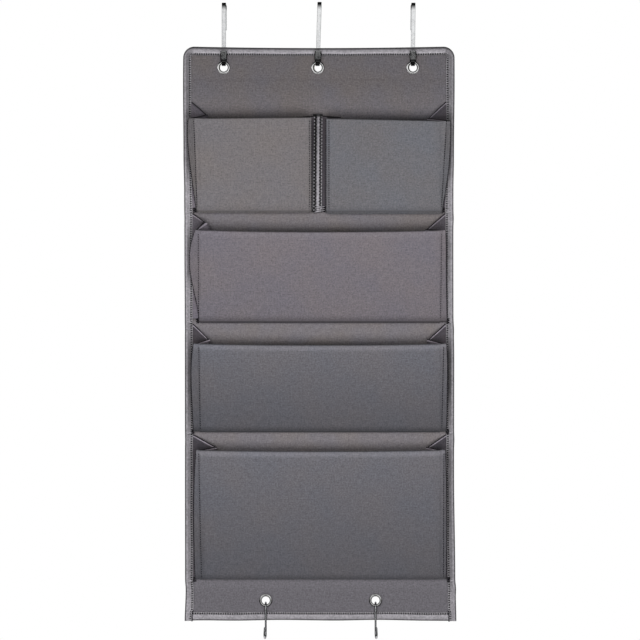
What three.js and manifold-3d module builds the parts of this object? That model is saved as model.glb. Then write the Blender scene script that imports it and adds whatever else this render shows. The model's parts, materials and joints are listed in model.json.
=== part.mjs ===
// A fabric document organiser that hangs over a door: a bound cloth back panel with five gusseted
// pockets, three flat steel over-door hooks in its top grommets and two wire S-hooks in its bottom ones.
// Millimetres, +Z up, the pockets face -Y. The origin is the middle of the flat underside of the
// middle hook, where it rests on the top edge of the door.
import * as THREE from "three";
import { mergeVertices } from "three/addons/utils/BufferGeometryUtils.js";
import Module from "manifold-3d";

const wasm = await Module();
wasm.setup();

// Sizes of the whole organiser
const panelWidth = 340;
const cornerRadius = 14;
const clearance = 0.3;
const cutOverrun = 5;

// Thicknesses of the sheet goods
const clothThickness = 0.5;
const tapeThickness = 0.5;
const backBoardThickness = 1;
const frontBoardThickness = 1.2;

// Binding tape, seam allowance and the tape between the two top pockets
const bindingWidth = 10;
const boardInset = 13;
const seamAllowance = 4;
const dividerWidth = 8;
const dividerRise = 4;
const dividerTail = 1;

// The panel from the top down: a header, the rows of pockets and a plain band. A row's height is that
// of its gussets along the back panel.
const headerHeight = 69;
const rowSpacing = 2;
const topRowHeight = 138;
const topFrontHeight = 118;
const upperRowHeight = 137;
const upperFrontHeight = 115;
const lowerRowHeight = 137;
const lowerFrontHeight = 112;
const bottomRowHeight = 184;
const bottomFrontHeight = 163;
const bottomBandHeight = 51;

// Pocket fronts: insets are measured from the panel's side edges
const frontBoardInset = 20;
const flangeBottomInset = 16;
const flangeTopInset = 12;
const flangeBulge = 6;
const middleFlangeHalf = 10.5;
const flangeWidth = 4;
const restGape = 16;
const boardSlit = 3;

// Gussets: each is one strip with a fold that points into its pocket
const gussetPleat = 21;
const foldRadius = 0.4;
const topPleatShare = 0.97;
const foldDropShare = 0.75;
const middleGussetRise = 3;
const middleGussetStart = 0.6;
const gussetEdgeInset = 1;
const gussetSeamWidth = dividerWidth / 2 + clearance;

// Grommets
const grommetHoleRadius = 5;
const grommetFlangeRadius = 8.25;
const grommetWall = 0.5;
const grommetDome = 0.9;
const grommetInset = 26;
const topGrommetSideInset = 51;
const bottomGrommetSideInset = 101;
const washerThickness = 0.5;
const rolledRimThickness = 0.4;
const rolledRimWidth = 1.2;

// Over-door hooks, bent from flat steel strip
const doorSlot = 45;
const hookRise = 54;
const strapWidth = 6;
const strapThickness = 1.2;
const strapBendRadius = 2.5;
const hookThroat = 12;
const hookTipHeight = 16;
const hookBackLeg = 30;

// S-hooks, bent from round wire
const wireRadius = 1.25;
const wireCurlRadius = 4.5;
const wireCurlExtra = THREE.MathUtils.degToRad(8);
const wireLoopRadius = 5;
const wireDrop = 42;
const wireFreeLeg = 9;

// Facets of round stretches
const grommetFacets = 24;
const cornerFacets = 8;
const bendFacets = 8;
const hemFacets = 16;
const wireSides = 10;
const wireSteps = 44;
const gussetRows = 6;
const flangeSteps = 8;
const foldSteps = 4;

// Depths are measured from the front surface of the face cloth: forwards on the pocket side
const panelThickness = 2 * clothThickness + 2 * clearance + backBoardThickness;
const washerFront = panelThickness + clearance;
const rimFront = washerFront + washerThickness + clearance;
const rimBack = rimFront + rolledRimThickness;
const flangeFront = clearance + grommetDome;
const grommetHalfThickness = (rimBack + flangeFront) / 2;
const grommetMiddle = (rimBack - flangeFront) / 2;

// The seam line at the foot of each row, below the panel's top edge, and the panel's own foot
const topSeam = -headerHeight - topRowHeight;
const upperSeam = topSeam - rowSpacing - upperRowHeight;
const lowerSeam = upperSeam - rowSpacing - lowerRowHeight;
const bottomSeam = lowerSeam - rowSpacing - bottomRowHeight;
const panelHeight = bottomBandHeight - bottomSeam;

// The panel hangs in the middle of the hooks' throats
const strapFrontY = -doorSlot / 2 - strapThickness;
const throatY = strapFrontY - hookThroat / 2;
const faceY = throatY - grommetMiddle;

// A pocket front is a cloth sleeve round a board. Its hem is a roll that turns on the back panel.
const gussetStack = 2 * clothThickness + 3 * clearance;
const sleeveThickness = 2 * clothThickness + 2 * clearance + frontBoardThickness;
const hemRadius = (gussetStack + sleeveThickness - clearance) / 2;
const hingeDepth = clearance + hemRadius;
const sleeveBack = gussetStack - hingeDepth;
const sleeveFront = sleeveBack + sleeveThickness;
const flangeThickness = 2 * clothThickness;

const greyCloth = new THREE.MeshStandardMaterial({ color: 0x76727a, roughness: 0.9 });
const paleTape = new THREE.MeshStandardMaterial({ color: 0x9a979d, roughness: 0.75 });
const greyBoard = new THREE.MeshStandardMaterial({ color: 0x8d8a84, roughness: 0.95 });
const chrome = new THREE.MeshStandardMaterial({ color: 0xd0d2d4, roughness: 0.15, metalness: 1 });

function namedMesh(name, geometry, material) {
  const mesh = new THREE.Mesh(geometry, material);
  mesh.name = name;
  return mesh;
}

// A closed geometry as a solid for joining and cutting
function solidOf(geometry) {
  const bare = geometry.index ? geometry.toNonIndexed() : geometry.clone();
  bare.deleteAttribute("normal");
  bare.deleteAttribute("uv");
  const merged = mergeVertices(bare);
  return new wasm.Manifold(
    new wasm.Mesh({
      numProp: 3,
      vertProperties: merged.attributes.position.array,
      triVerts: new Uint32Array(merged.index.array),
    }),
  );
}

function geometryOf(solid) {
  const { numProp, vertProperties, triVerts, numVert } = solid.getMesh();
  const positions = new Float32Array(numVert * 3);
  for (let i = 0; i < numVert; i++)
    positions.set(vertProperties.subarray(i * numProp, i * numProp + 3), i * 3);
  const geometry = new THREE.BufferGeometry();
  geometry.setAttribute("position", new THREE.BufferAttribute(positions, 3));
  geometry.setIndex(new THREE.BufferAttribute(new Uint32Array(triVerts), 1));
  geometry.computeVertexNormals();
  return geometry;
}

function joined(...geometries) {
  return geometryOf(geometries.map(solidOf).reduce((sum, next) => sum.add(next)));
}

function cut(base, ...tools) {
  return geometryOf(tools.map(solidOf).reduce((rest, tool) => rest.subtract(tool), solidOf(base)));
}

// A flat sheet in the X-Z plane, from the depth `back` forwards to the depth `front`
function sheet(shape, back, front) {
  const settings = { depth: front - back, bevelEnabled: false, curveSegments: cornerFacets };
  return new THREE.ExtrudeGeometry(shape, settings).rotateX(Math.PI / 2).translate(0, -back, 0);
}

function rectangle(left, right, bottom, top) {
  return new THREE.Shape()
    .moveTo(left, bottom)
    .lineTo(right, bottom)
    .lineTo(right, top)
    .lineTo(left, top)
    .closePath();
}

// The back panel's outline, drawn in from its edges by `inset`: round corners above, square below
function panelOutline(inset, bottom = inset - panelHeight) {
  const half = panelWidth / 2 - inset;
  const radius = cornerRadius - Math.min(inset, bindingWidth);
  const cornerX = half - radius;
  const cornerZ = -inset - radius;
  return new THREE.Shape()
    .moveTo(-half, bottom)
    .lineTo(half, bottom)
    .lineTo(half, cornerZ)
    .absarc(cornerX, cornerZ, radius, 0, Math.PI / 2, false)
    .absarc(-cornerX, cornerZ, radius, Math.PI / 2, Math.PI, false)
    .closePath();
}

// Where the grommets sit on the panel, by name
const topGrommetZ = -grommetInset;
const bottomGrommetZ = grommetInset - panelHeight;
const topGrommetX = panelWidth / 2 - topGrommetSideInset;
const bottomGrommetX = panelWidth / 2 - bottomGrommetSideInset;
const topGrommets = [
  ["left", -topGrommetX],
  ["middle", 0],
  ["right", topGrommetX],
].map(([side, x]) => ({ name: "top_" + side, x, z: topGrommetZ }));
const bottomGrommets = [
  ["left", -bottomGrommetX],
  ["right", bottomGrommetX],
].map(([side, x]) => ({ name: "bottom_" + side, x, z: bottomGrommetZ }));
const barrelRadius = grommetHoleRadius + grommetWall;
const clothHoleRadius = barrelRadius + clearance;

// A round hole for a grommet's barrel, as a cutting tool through every layer of the panel
function grommetHole({ x, z }) {
  const length = panelThickness + 2 * cutOverrun;
  return new THREE.CylinderGeometry(clothHoleRadius, clothHoleRadius, length, grommetFacets)
    .translate(x, panelThickness / 2, z);
}

// Two cloth layers with a stiff board between them in every row
function backPanel() {
  const parts = [];
  const clothInset = tapeThickness + clearance;
  const holes = [...topGrommets, ...bottomGrommets].map(grommetHole);
  const boardFront = clothThickness + clearance;
  const liningFront = boardFront + backBoardThickness + clearance;
  const face = sheet(panelOutline(clothInset), -clothThickness, 0);
  const lining = sheet(panelOutline(clothInset), -panelThickness, -liningFront);
  parts.push(namedMesh("back_face_cloth", cut(face, ...holes), greyCloth));
  parts.push(namedMesh("back_lining_cloth", cut(lining, ...holes), greyCloth));
  const boardHalf = panelWidth / 2 - boardInset;
  const boards = [
    ["back_board_top", topSeam + seamAllowance, -boardInset],
    ["back_board_upper", upperSeam + seamAllowance, topSeam - seamAllowance],
    ["back_board_lower", lowerSeam + seamAllowance, upperSeam - seamAllowance],
    ["back_board_bottom", bottomSeam + seamAllowance, lowerSeam - seamAllowance],
  ];
  for (const [name, bottom, top] of boards) {
    const shape = rectangle(-boardHalf, boardHalf, bottom, top);
    const board = sheet(shape, -boardFront - backBoardThickness, -boardFront);
    parts.push(namedMesh(name, cut(board, ...holes), greyBoard));
  }
  return parts;
}

// Binding tape folded round the panel's edge: one run over both sides and the top, one along the bottom
function bindings() {
  const back = -panelThickness - clearance - tapeThickness;
  const front = clearance + tapeThickness;
  const slotBack = back + tapeThickness;
  const slotFront = front - tapeThickness;
  const below = -panelHeight - cutOverrun;
  const run = sheet(panelOutline(0), back, front);
  const window = sheet(panelOutline(bindingWidth, below), back - cutOverrun, front + cutOverrun);
  const edgeSlot = sheet(panelOutline(tapeThickness, below), slotBack, slotFront);
  const half = panelWidth / 2 - bindingWidth - clearance;
  const hem = sheet(rectangle(-half, half, -panelHeight, bindingWidth - panelHeight), back, front);
  const hemSlotShape = rectangle(-panelWidth, panelWidth, tapeThickness - panelHeight, 0);
  return [
    namedMesh("edge_binding", cut(run, window, edgeSlot), paleTape),
    namedMesh("bottom_binding", cut(hem, sheet(hemSlotShape, slotBack, slotFront)), paleTape),
  ];
}

// A round metal grommet: a domed flange in front, a barrel through the cloth and a rolled rear rim
function grommetGeometry() {
  const bore = grommetHoleRadius;
  const outer = grommetFlangeRadius;
  const soften = grommetWall / 2;
  const profile = [
    [bore + soften, -rimBack],
    [barrelRadius + rolledRimWidth, -rimBack + soften / 2],
    [barrelRadius + rolledRimWidth, -rimFront],
    [barrelRadius, -rimFront],
    [barrelRadius, clearance],
    [outer, clearance],
    [outer, clearance + soften],
    [outer - soften, flangeFront - soften],
    [(bore + outer) / 2, flangeFront],
    [bore + soften, flangeFront],
    [bore, flangeFront - soften],
    [bore, -rimBack + soften],
  ].map(([radius, height]) => new THREE.Vector2(radius, height));
  return new THREE.LatheGeometry([...profile, profile[0]], grommetFacets).rotateX(Math.PI);
}

function washerGeometry() {
  const inner = barrelRadius + clearance;
  const outer = grommetFlangeRadius;
  const profile = [
    [inner, -washerFront - washerThickness],
    [outer, -washerFront - washerThickness],
    [outer, -washerFront],
    [inner, -washerFront],
  ].map(([radius, height]) => new THREE.Vector2(radius, height));
  return new THREE.LatheGeometry([...profile, profile[0]], grommetFacets).rotateX(Math.PI);
}

function grommets() {
  return [...topGrommets, ...bottomGrommets].flatMap(({ name, x, z }) => {
    const grommet = namedMesh("grommet_" + name, grommetGeometry(), chrome);
    const washer = namedMesh("grommet_washer_" + name, washerGeometry(), chrome);
    grommet.position.set(x, 0, z);
    washer.position.set(x, 0, z);
    return [grommet, washer];
  });
}

// A row's lean at rest: its front stands open by restGape at the top
function leanOf(frontHeight) {
  const rise = frontHeight - hemRadius;
  const run = restGape - gussetStack;
  return { angle: Math.atan2(run, rise), length: Math.hypot(run, rise) };
}

// Half width of a front's outer flange at a share of its height: it bulges near the top. The bump is
// share cubed times what is left of the height, which peaks at 27/256 three quarters of the way up.
const bumpPeakShare = 27 / 256;
function outerFlangeHalf(share) {
  const bump = (share ** 3 * (1 - share)) / bumpPeakShare;
  const inset = flangeBottomInset + (flangeTopInset - flangeBottomInset) * share;
  return panelWidth / 2 - inset + flangeBulge * bump;
}

// One pocket front, drawn round its hinge line: X across, Z up its length, -Y out of its face
function pocketFront(pocket) {
  const { name, seam, frontHeight, left, right } = pocket;
  const { angle, length } = leanOf(frontHeight);
  const front = new THREE.Group();
  front.position.set(0, -hingeDepth, seam + hemRadius);
  front.rotation.x = angle;

  const flangeShape = new THREE.Shape().moveTo(left.edge(0), 0).lineTo(right.edge(0), 0);
  for (let i = 1; i <= flangeSteps; i++)
    flangeShape.lineTo(right.edge(i / flangeSteps), (length * i) / flangeSteps);
  for (let i = flangeSteps; i > 0; i--)
    flangeShape.lineTo(left.edge(i / flangeSteps), (length * i) / flangeSteps);
  flangeShape.closePath();
  const flange = sheet(flangeShape, sleeveBack, sleeveBack + flangeThickness);

  const margin = clearance + clothThickness;
  const sleeveShape = rectangle(left.board - margin, right.board + margin, 0, length);
  const sleeve = sheet(sleeveShape, sleeveBack, sleeveFront);
  const hemLength = right.edge(0) - left.edge(0);
  const hem = new THREE.CylinderGeometry(hemRadius, hemRadius, hemLength, hemFacets)
    .rotateZ(Math.PI / 2)
    .translate((left.edge(0) + right.edge(0)) / 2, 0, 0);

  const hollowBack = sleeveBack + clothThickness;
  const hollowFront = sleeveFront - clothThickness;
  const hollowFoot = hemRadius;
  const hollowTop = length - clothThickness;
  const hollowShape = rectangle(
    left.board - clearance,
    right.board + clearance,
    hollowFoot,
    hollowTop,
  );
  const hollow = sheet(hollowShape, hollowBack, hollowFront);
  const slitShape = rectangle(left.board, right.board, hollowFoot, hollowFoot + boardSlit);
  const slit = sheet(slitShape, sleeveBack - cutOverrun, hollowBack + clearance);
  const cover = cut(joined(sleeve, flange, hem), hollow, slit);
  front.add(namedMesh(name + "_pocket_cover", cover, greyCloth));

  const boardShape = rectangle(
    left.board,
    right.board,
    hollowFoot + clearance,
    hollowTop - clearance,
  );
  const board = sheet(boardShape, hollowBack + clearance, hollowFront - clearance);
  front.add(namedMesh(name + "_pocket_board", board, greyBoard));
  return front;
}

// A folded strip with a thickness: `rows` of points from foot to top, each from the back edge to the front
// edge. Every point holds its place and the sideways normal along which the cloth is thickened.
function clothGeometry(rows, thickness, mirrored) {
  const across = rows[0].length;
  const positions = [];
  for (const sign of [1, -1])
    for (const { place, normal } of rows.flat())
      positions.push(...place.clone().addScaledVector(normal, (sign * thickness) / 2).toArray());
  const layer = rows.length * across;
  const index = [];
  const quad = (a, b, c, d) => index.push(a, b, c, a, c, d);
  for (let i = 0; i + 1 < rows.length; i++)
    for (let j = 0; j + 1 < across; j++) {
      const a = i * across + j;
      quad(a, a + 1, a + across + 1, a + across);
      quad(layer + a, layer + a + across, layer + a + across + 1, layer + a + 1);
    }
  const rim = [];
  for (let j = 0; j < across; j++) rim.push(j);
  for (let i = 1; i < rows.length; i++) rim.push(i * across + across - 1);
  for (let j = across - 2; j >= 0; j--) rim.push((rows.length - 1) * across + j);
  for (let i = rows.length - 2; i > 0; i--) rim.push(i * across);
  rim.forEach((a, k) => {
    const b = rim[(k + 1) % rim.length];
    quad(b, a, layer + a, layer + b);
  });
  if (mirrored) index.reverse();
  const geometry = new THREE.BufferGeometry();
  geometry.setAttribute("position", new THREE.Float32BufferAttribute(positions, 3));
  geometry.setIndex(index);
  geometry.computeVertexNormals();
  return geometry;
}

// One gusset. `backX` is its edge on the panel and `inward` the way its fold points, +1 or -1 along X.
// Its front edge is sewn behind the front's flange, whose edge is at x = edge(share of the height).
function gusset(name, pocket, backX, inward, edge, rise) {
  const { seam, frontHeight } = pocket;
  const { angle, length } = leanOf(frontHeight);
  const foot = hemRadius + clearance;
  const backDepth = clearance + clothThickness / 2;
  const sewnDepth = sleeveBack - clearance - clothThickness / 2;
  const rows = [];
  for (let i = 0; i <= gussetRows; i++) {
    const share = i / gussetRows;
    const along = foot + share * (length - foot - clearance);
    const frontDepth = hingeDepth + sewnDepth * Math.cos(angle) + along * Math.sin(angle);
    const frontZ = seam + hemRadius + along * Math.cos(angle) - sewnDepth * Math.sin(angle);
    const backZ = seam + hemRadius + foot + share * (rise - hemRadius - foot);
    const foldZ = backZ + foldDropShare * (frontZ - backZ);
    const foldDepth = (backDepth + frontDepth) / 2;
    const frontIn = (edge(along / length) - backX) * inward + gussetEdgeInset;
    const pleat = gussetPleat * (1 - (1 - topPleatShare) * share);
    const foldIn = (gussetSeamWidth + frontIn) / 2 + pleat;
    const line = [
      { across: 0, depth: backDepth, z: backZ },
      { across: gussetSeamWidth, depth: backDepth, z: backZ },
    ];
    for (let k = 0; k <= foldSteps; k++) {
      const turn = Math.PI * (k / foldSteps - 1 / 2);
      line.push({
        across: foldIn + foldRadius * Math.cos(turn),
        depth: foldDepth + foldRadius * Math.sin(turn),
        z: foldZ,
      });
    }
    line.push({ across: frontIn, depth: frontDepth, z: frontZ });
    rows.push(
      line.map((point, k) => {
        const before = line[Math.max(k - 1, 0)];
        const after = line[Math.min(k + 1, line.length - 1)];
        const normal = new THREE.Vector3(
          (after.depth - before.depth) * inward,
          after.across - before.across,
          0,
        ).normalize();
        const place = new THREE.Vector3(backX + point.across * inward, -point.depth, point.z);
        return { place, normal };
      }),
    );
  }
  return namedMesh(name, clothGeometry(rows, clothThickness, inward > 0), greyCloth);
}

// The pockets. Each side has the edge of its board and the edge of its flange, by share of height.
const frontBoardHalf = panelWidth / 2 - frontBoardInset;
const outerLeft = { board: -frontBoardHalf, edge: (share) => -outerFlangeHalf(share) };
const outerRight = { board: frontBoardHalf, edge: outerFlangeHalf };
const middleLeft = { board: -middleFlangeHalf - flangeWidth, edge: () => -middleFlangeHalf };
const middleRight = { board: middleFlangeHalf + flangeWidth, edge: () => middleFlangeHalf };
const topRow = { seam: topSeam, height: topRowHeight, frontHeight: topFrontHeight };
const pockets = [
  { name: "top_left", ...topRow, left: outerLeft, right: middleLeft },
  { name: "top_right", ...topRow, left: middleRight, right: outerRight },
  {
    name: "upper",
    seam: upperSeam,
    height: upperRowHeight,
    frontHeight: upperFrontHeight,
    left: outerLeft,
    right: outerRight,
  },
  {
    name: "lower",
    seam: lowerSeam,
    height: lowerRowHeight,
    frontHeight: lowerFrontHeight,
    left: outerLeft,
    right: outerRight,
  },
  {
    name: "bottom",
    seam: bottomSeam,
    height: bottomRowHeight,
    frontHeight: bottomFrontHeight,
    left: outerLeft,
    right: outerRight,
  },
];

function gussets(pocket) {
  const { name, left, right, height, frontHeight } = pocket;
  const backHalf = panelWidth / 2 - bindingWidth - clearance;
  const middleHeight = frontHeight + middleGussetRise;
  return [
    left === outerLeft
      ? gusset(name + "_left_gusset", pocket, -backHalf, 1, left.edge, height)
      : gusset(name + "_left_gusset", pocket, middleGussetStart, 1, left.edge, middleHeight),
    right === outerRight
      ? gusset(name + "_right_gusset", pocket, backHalf, -1, right.edge, height)
      : gusset(name + "_right_gusset", pocket, -middleGussetStart, -1, right.edge, middleHeight),
  ];
}

// A flat tape sewn down over the back edges of the two middle gussets
function dividerTape() {
  const top = topSeam + topFrontHeight + dividerRise;
  const shape = rectangle(-dividerWidth / 2, dividerWidth / 2, topSeam - dividerTail, top);
  const back = clearance + clothThickness + clearance;
  return namedMesh("divider_tape", sheet(shape, back, back + tapeThickness), paleTape);
}

// The middle of a hook's throat, so low that the strip's flat edge clears the round grommet above it
const holeTop = -hookRise - grommetInset + grommetHoleRadius;
const roundSag = grommetHoleRadius - Math.sqrt(grommetHoleRadius ** 2 - (strapWidth / 2) ** 2);
const throatRise = Math.sqrt((hookThroat / 2) ** 2 - grommetHalfThickness ** 2);
const throatZ = holeTop - roundSag - clearance + throatRise;

// A flat strip bent over the door, down its front and up again through the grommet. The outline is drawn
// in Y and Z and has the strip's thickness; the extrusion gives it its width along X.
function doorHook(name, x) {
  const throat = hookThroat / 2;
  const thick = strapThickness;
  const bend = strapBendRadius;
  const slot = doorSlot / 2;
  const tipTop = holeTop + hookTipHeight;
  const outline = new THREE.Shape()
    .moveTo(throatY - throat, tipTop)
    .lineTo(throatY - throat, throatZ)
    .absarc(throatY, throatZ, throat, Math.PI, 2 * Math.PI, false)
    .lineTo(-slot - thick, -bend)
    .absarc(bend - slot, -bend, bend + thick, Math.PI, Math.PI / 2, true)
    .absarc(slot - bend, -bend, bend + thick, Math.PI / 2, 0, true)
    .lineTo(slot + thick, -hookBackLeg)
    .lineTo(slot, -hookBackLeg)
    .lineTo(slot, -bend)
    .absarc(slot - bend, -bend, bend, 0, Math.PI / 2, false)
    .absarc(bend - slot, -bend, bend, Math.PI / 2, Math.PI, false)
    .lineTo(-slot, throatZ)
    .absarc(throatY, throatZ, throat + thick, 0, -Math.PI, true)
    .lineTo(throatY - throat - thick, tipTop)
    .closePath();
  const settings = { depth: strapWidth, bevelEnabled: false, curveSegments: bendFacets };
  const toYandZ = new THREE.Matrix4().makeBasis(
    new THREE.Vector3(0, 1, 0),
    new THREE.Vector3(0, 0, 1),
    new THREE.Vector3(1, 0, 0),
  );
  const geometry = new THREE.ExtrudeGeometry(outline, settings)
    .applyMatrix4(toYandZ)
    .translate(-strapWidth / 2, 0, 0);
  const hook = namedMesh(name, geometry, chrome);
  hook.position.x = x;
  return hook;
}

// An arc in the Y-Z plane, from one angle to another, counted from +Y towards +Z
class SideArc extends THREE.Curve {
  constructor(y, z, radius, from, to) {
    super();
    Object.assign(this, { y, z, radius, from, to });
  }
  getPoint(share, target = new THREE.Vector3()) {
    const angle = this.from + (this.to - this.from) * share;
    const y = this.y + this.radius * Math.cos(angle);
    return target.set(0, y, this.z + this.radius * Math.sin(angle));
  }
}

// A wire S-hook round the middle of its upper curl. The curl hangs on the lower rim of its grommet, and
// the hook leans back until its stem meets the bottom binding.
function wireHook(name, x) {
  const curl = wireCurlRadius + wireRadius;
  const loop = wireLoopRadius + wireRadius;
  const rimSag = grommetHoleRadius - Math.sqrt(grommetHoleRadius ** 2 - wireRadius ** 2);
  const curlRise = Math.sqrt(wireCurlRadius ** 2 - grommetHalfThickness ** 2);
  const curlZ = bottomGrommetZ - grommetHoleRadius + rimSag + clearance - curlRise;
  const loopZ = bottomGrommetZ - grommetHoleRadius - wireDrop + wireRadius + loop - curlZ;
  const path = new THREE.CurvePath();
  path.add(new SideArc(0, 0, curl, -wireCurlExtra, Math.PI));
  path.add(
    new THREE.LineCurve3(new THREE.Vector3(0, -curl, 0), new THREE.Vector3(0, -curl, loopZ)),
  );
  path.add(new SideArc(-curl - loop, loopZ, loop, 0, -Math.PI));
  path.add(
    new THREE.LineCurve3(
      new THREE.Vector3(0, -curl - 2 * loop, loopZ),
      new THREE.Vector3(0, -curl - 2 * loop, loopZ + wireFreeLeg),
    ),
  );
  const section = new THREE.Shape().absarc(0, 0, wireRadius, 0, 2 * Math.PI, false);
  const geometry = new THREE.ExtrudeGeometry(section, {
    steps: wireSteps,
    curveSegments: wireSides / 2,
    extrudePath: path,
  });
  const hook = namedMesh(name, geometry, chrome);
  hook.position.set(x, grommetMiddle, curlZ);
  const bindingDepth = grommetMiddle + clearance + tapeThickness;
  const bindingDrop = curlZ + panelHeight;
  const reach = curl - wireRadius - clearance;
  const leanBack =
    Math.atan2(bindingDrop, bindingDepth) -
    Math.acos(reach / Math.hypot(bindingDrop, bindingDepth));
  hook.rotation.x = leanBack;
  return hook;
}

const organiser = new THREE.Group();
const panel = new THREE.Group();
panel.position.set(0, faceY, -hookRise);
panel.add(...backPanel(), ...bindings(), dividerTape(), ...grommets());
for (const pocket of pockets) panel.add(pocketFront(pocket), ...gussets(pocket));
for (const { name, x } of bottomGrommets) panel.add(wireHook(name.replace("bottom", "s_hook"), x));
organiser.add(panel);
for (const { name, x } of topGrommets)
  organiser.add(doorHook(name.replace("top", "door_hook"), x));

export default organiser;
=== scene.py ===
# A cloth document organiser that hangs over a door by three flat hooks: five gusseted pockets on a bound
# panel, with two wire S-hooks under it. Metres, +Z up, the pockets face -Y.
import json

import bpy
import numpy as np
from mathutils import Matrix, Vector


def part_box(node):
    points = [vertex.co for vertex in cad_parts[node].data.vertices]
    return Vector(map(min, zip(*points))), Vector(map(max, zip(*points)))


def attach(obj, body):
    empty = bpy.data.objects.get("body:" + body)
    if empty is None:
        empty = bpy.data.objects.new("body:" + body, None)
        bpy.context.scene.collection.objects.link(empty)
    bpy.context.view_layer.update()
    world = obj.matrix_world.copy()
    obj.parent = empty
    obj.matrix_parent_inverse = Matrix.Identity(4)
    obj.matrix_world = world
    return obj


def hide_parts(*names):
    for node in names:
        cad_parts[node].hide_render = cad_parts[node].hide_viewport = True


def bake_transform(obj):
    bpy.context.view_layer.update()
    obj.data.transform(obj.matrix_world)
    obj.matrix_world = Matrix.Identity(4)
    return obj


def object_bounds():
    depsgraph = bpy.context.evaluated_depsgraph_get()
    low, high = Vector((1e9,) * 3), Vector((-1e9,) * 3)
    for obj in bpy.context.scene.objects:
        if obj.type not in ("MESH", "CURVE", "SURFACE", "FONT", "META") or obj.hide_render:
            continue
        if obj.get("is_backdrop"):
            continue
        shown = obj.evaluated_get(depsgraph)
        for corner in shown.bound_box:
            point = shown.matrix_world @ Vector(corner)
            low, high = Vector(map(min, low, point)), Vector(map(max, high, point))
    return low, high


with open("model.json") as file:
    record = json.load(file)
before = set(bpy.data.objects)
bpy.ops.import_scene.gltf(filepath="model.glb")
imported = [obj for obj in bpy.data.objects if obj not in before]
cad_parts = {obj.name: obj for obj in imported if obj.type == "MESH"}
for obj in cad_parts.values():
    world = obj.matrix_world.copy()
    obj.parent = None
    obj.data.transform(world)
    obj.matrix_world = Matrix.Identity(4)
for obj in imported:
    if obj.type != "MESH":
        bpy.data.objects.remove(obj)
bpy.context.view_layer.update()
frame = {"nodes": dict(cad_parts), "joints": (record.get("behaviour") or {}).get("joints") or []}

# The face cloth: one layer of grey polyester canvas over the whole panel, in front of the stiffener
# boards. It is caught under the binding all round and sewn down along the foot of every row of pockets.
CLOTH = 0.0005
CLOTH_INSET = 0.0008
THREAD_PITCH = 0.0011
CORNER_RADIUS = 0.014
TOP_SAG = 0.0021
TOP_SAG_REACH = 0.011
LEFT_KINK = -0.0002
RIGHT_KINK = 0.0004
KINK_DROP = 0.009
KINK_REACH = 0.007
# How far the panel's sides drift outwards, in millimetres, at these shares of the way down it
DRIFT_PLACES = (0.0, 0.06, 0.19, 0.25, 0.36, 0.46, 0.54, 0.74, 0.925, 0.95, 1.0)
LEFT_DRIFT = (1.1, 1.4, 0.8, -0.1, -0.4, -0.8, -1.0, -1.1, -1.2, -1.9, -0.8)
RIGHT_DRIFT = (0.1, 0.2, -0.6, -1.3, -1.4, -1.3, -0.3, -0.5, 1.0, 1.7, 2.3)
FOOT_WAVE = 0.0016
FOOT_DROP = 0.0011
GROMMET_CUT = 0.0068
GRID_STEP = 0.005
FINE_STEP = 0.0012
FINE_REACH = 0.0095
HEADER_SHIFT = -0.0013
HEADER_SHIFT_REACH = 0.03
BINDING_REACH = 0.0101
HEADER_HEIGHTS = (-0.128, -0.102)
HEADER_LINE = -0.0956
BAND_TOP_REACH = 0.015
POCKET_DEPTH_START = 0.0035
POCKET_DEPTH_REACH = 0.006
POCKET_SEAM_REACH = 0.003
SEEN_SHIFT = 0.006
RIGHT_FRONT_LOWER = 0.0015
# How pale the face cloth is, as painted shade: the header, the header just above the pockets, the band at the
# foot and its top, the depth of a pocket, the shadow line along the binding and the shade of the fold line
# pressed across the header
HEADER_TONE = 0.69
HEADER_LOW_TONE = 0.82
BAND_TONE = 0.66
BAND_TOP_TONE = 0.77
POCKET_SHADE_TONE = 0.38
BINDING_SHADOW_TONE = 0.68
HEADER_CREASE_SHADE = 0.92

panel_low, panel_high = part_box("edge_binding")
HALF_WIDTH = panel_high.x
PANEL_TOP = panel_high.z
PANEL_FOOT = panel_low.z
FACE_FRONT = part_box("back_face_cloth")[0].y
ROWS = ("top_left", "upper", "lower", "bottom")
SEAMS = {row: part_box(row + "_pocket_cover")[0].z for row in ROWS}
BAND_TOP = SEAMS["bottom"]
GROMMETS = ("top_left", "top_middle", "top_right", "bottom_left", "bottom_right")
HOLES = {name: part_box("grommet_" + name)[0].lerp(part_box("grommet_" + name)[1], 0.5) for name in GROMMETS}
S_HOOK_X = HOLES["bottom_right"].x


def ramp(value, start, reach):
    """0 up to the start, then evenly up to 1 over the reach."""
    return np.clip((value - start) / reach, 0, 1)


def dimmed(tone, share, mask):
    """A tone brought down to this share of itself where the mask is 1."""
    return tone * (1 - (1 - share) * mask)


def eased(value, places, heights):
    """A line through given heights, level at each of them: between two, a cubic smooth step."""
    places, heights = np.asarray(places), np.asarray(heights)
    k = np.clip(np.searchsorted(places, value) - 1, 0, len(places) - 2)
    t = ramp(value, places[k], places[k + 1] - places[k])
    return heights[k] + (heights[k + 1] - heights[k]) * t * t * (3 - 2 * t)


def bell(distance, reach):
    """A smooth hump, 1 at no distance: e to the minus square of the distance over its reach."""
    return np.exp(-((distance / reach) ** 2))


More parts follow.
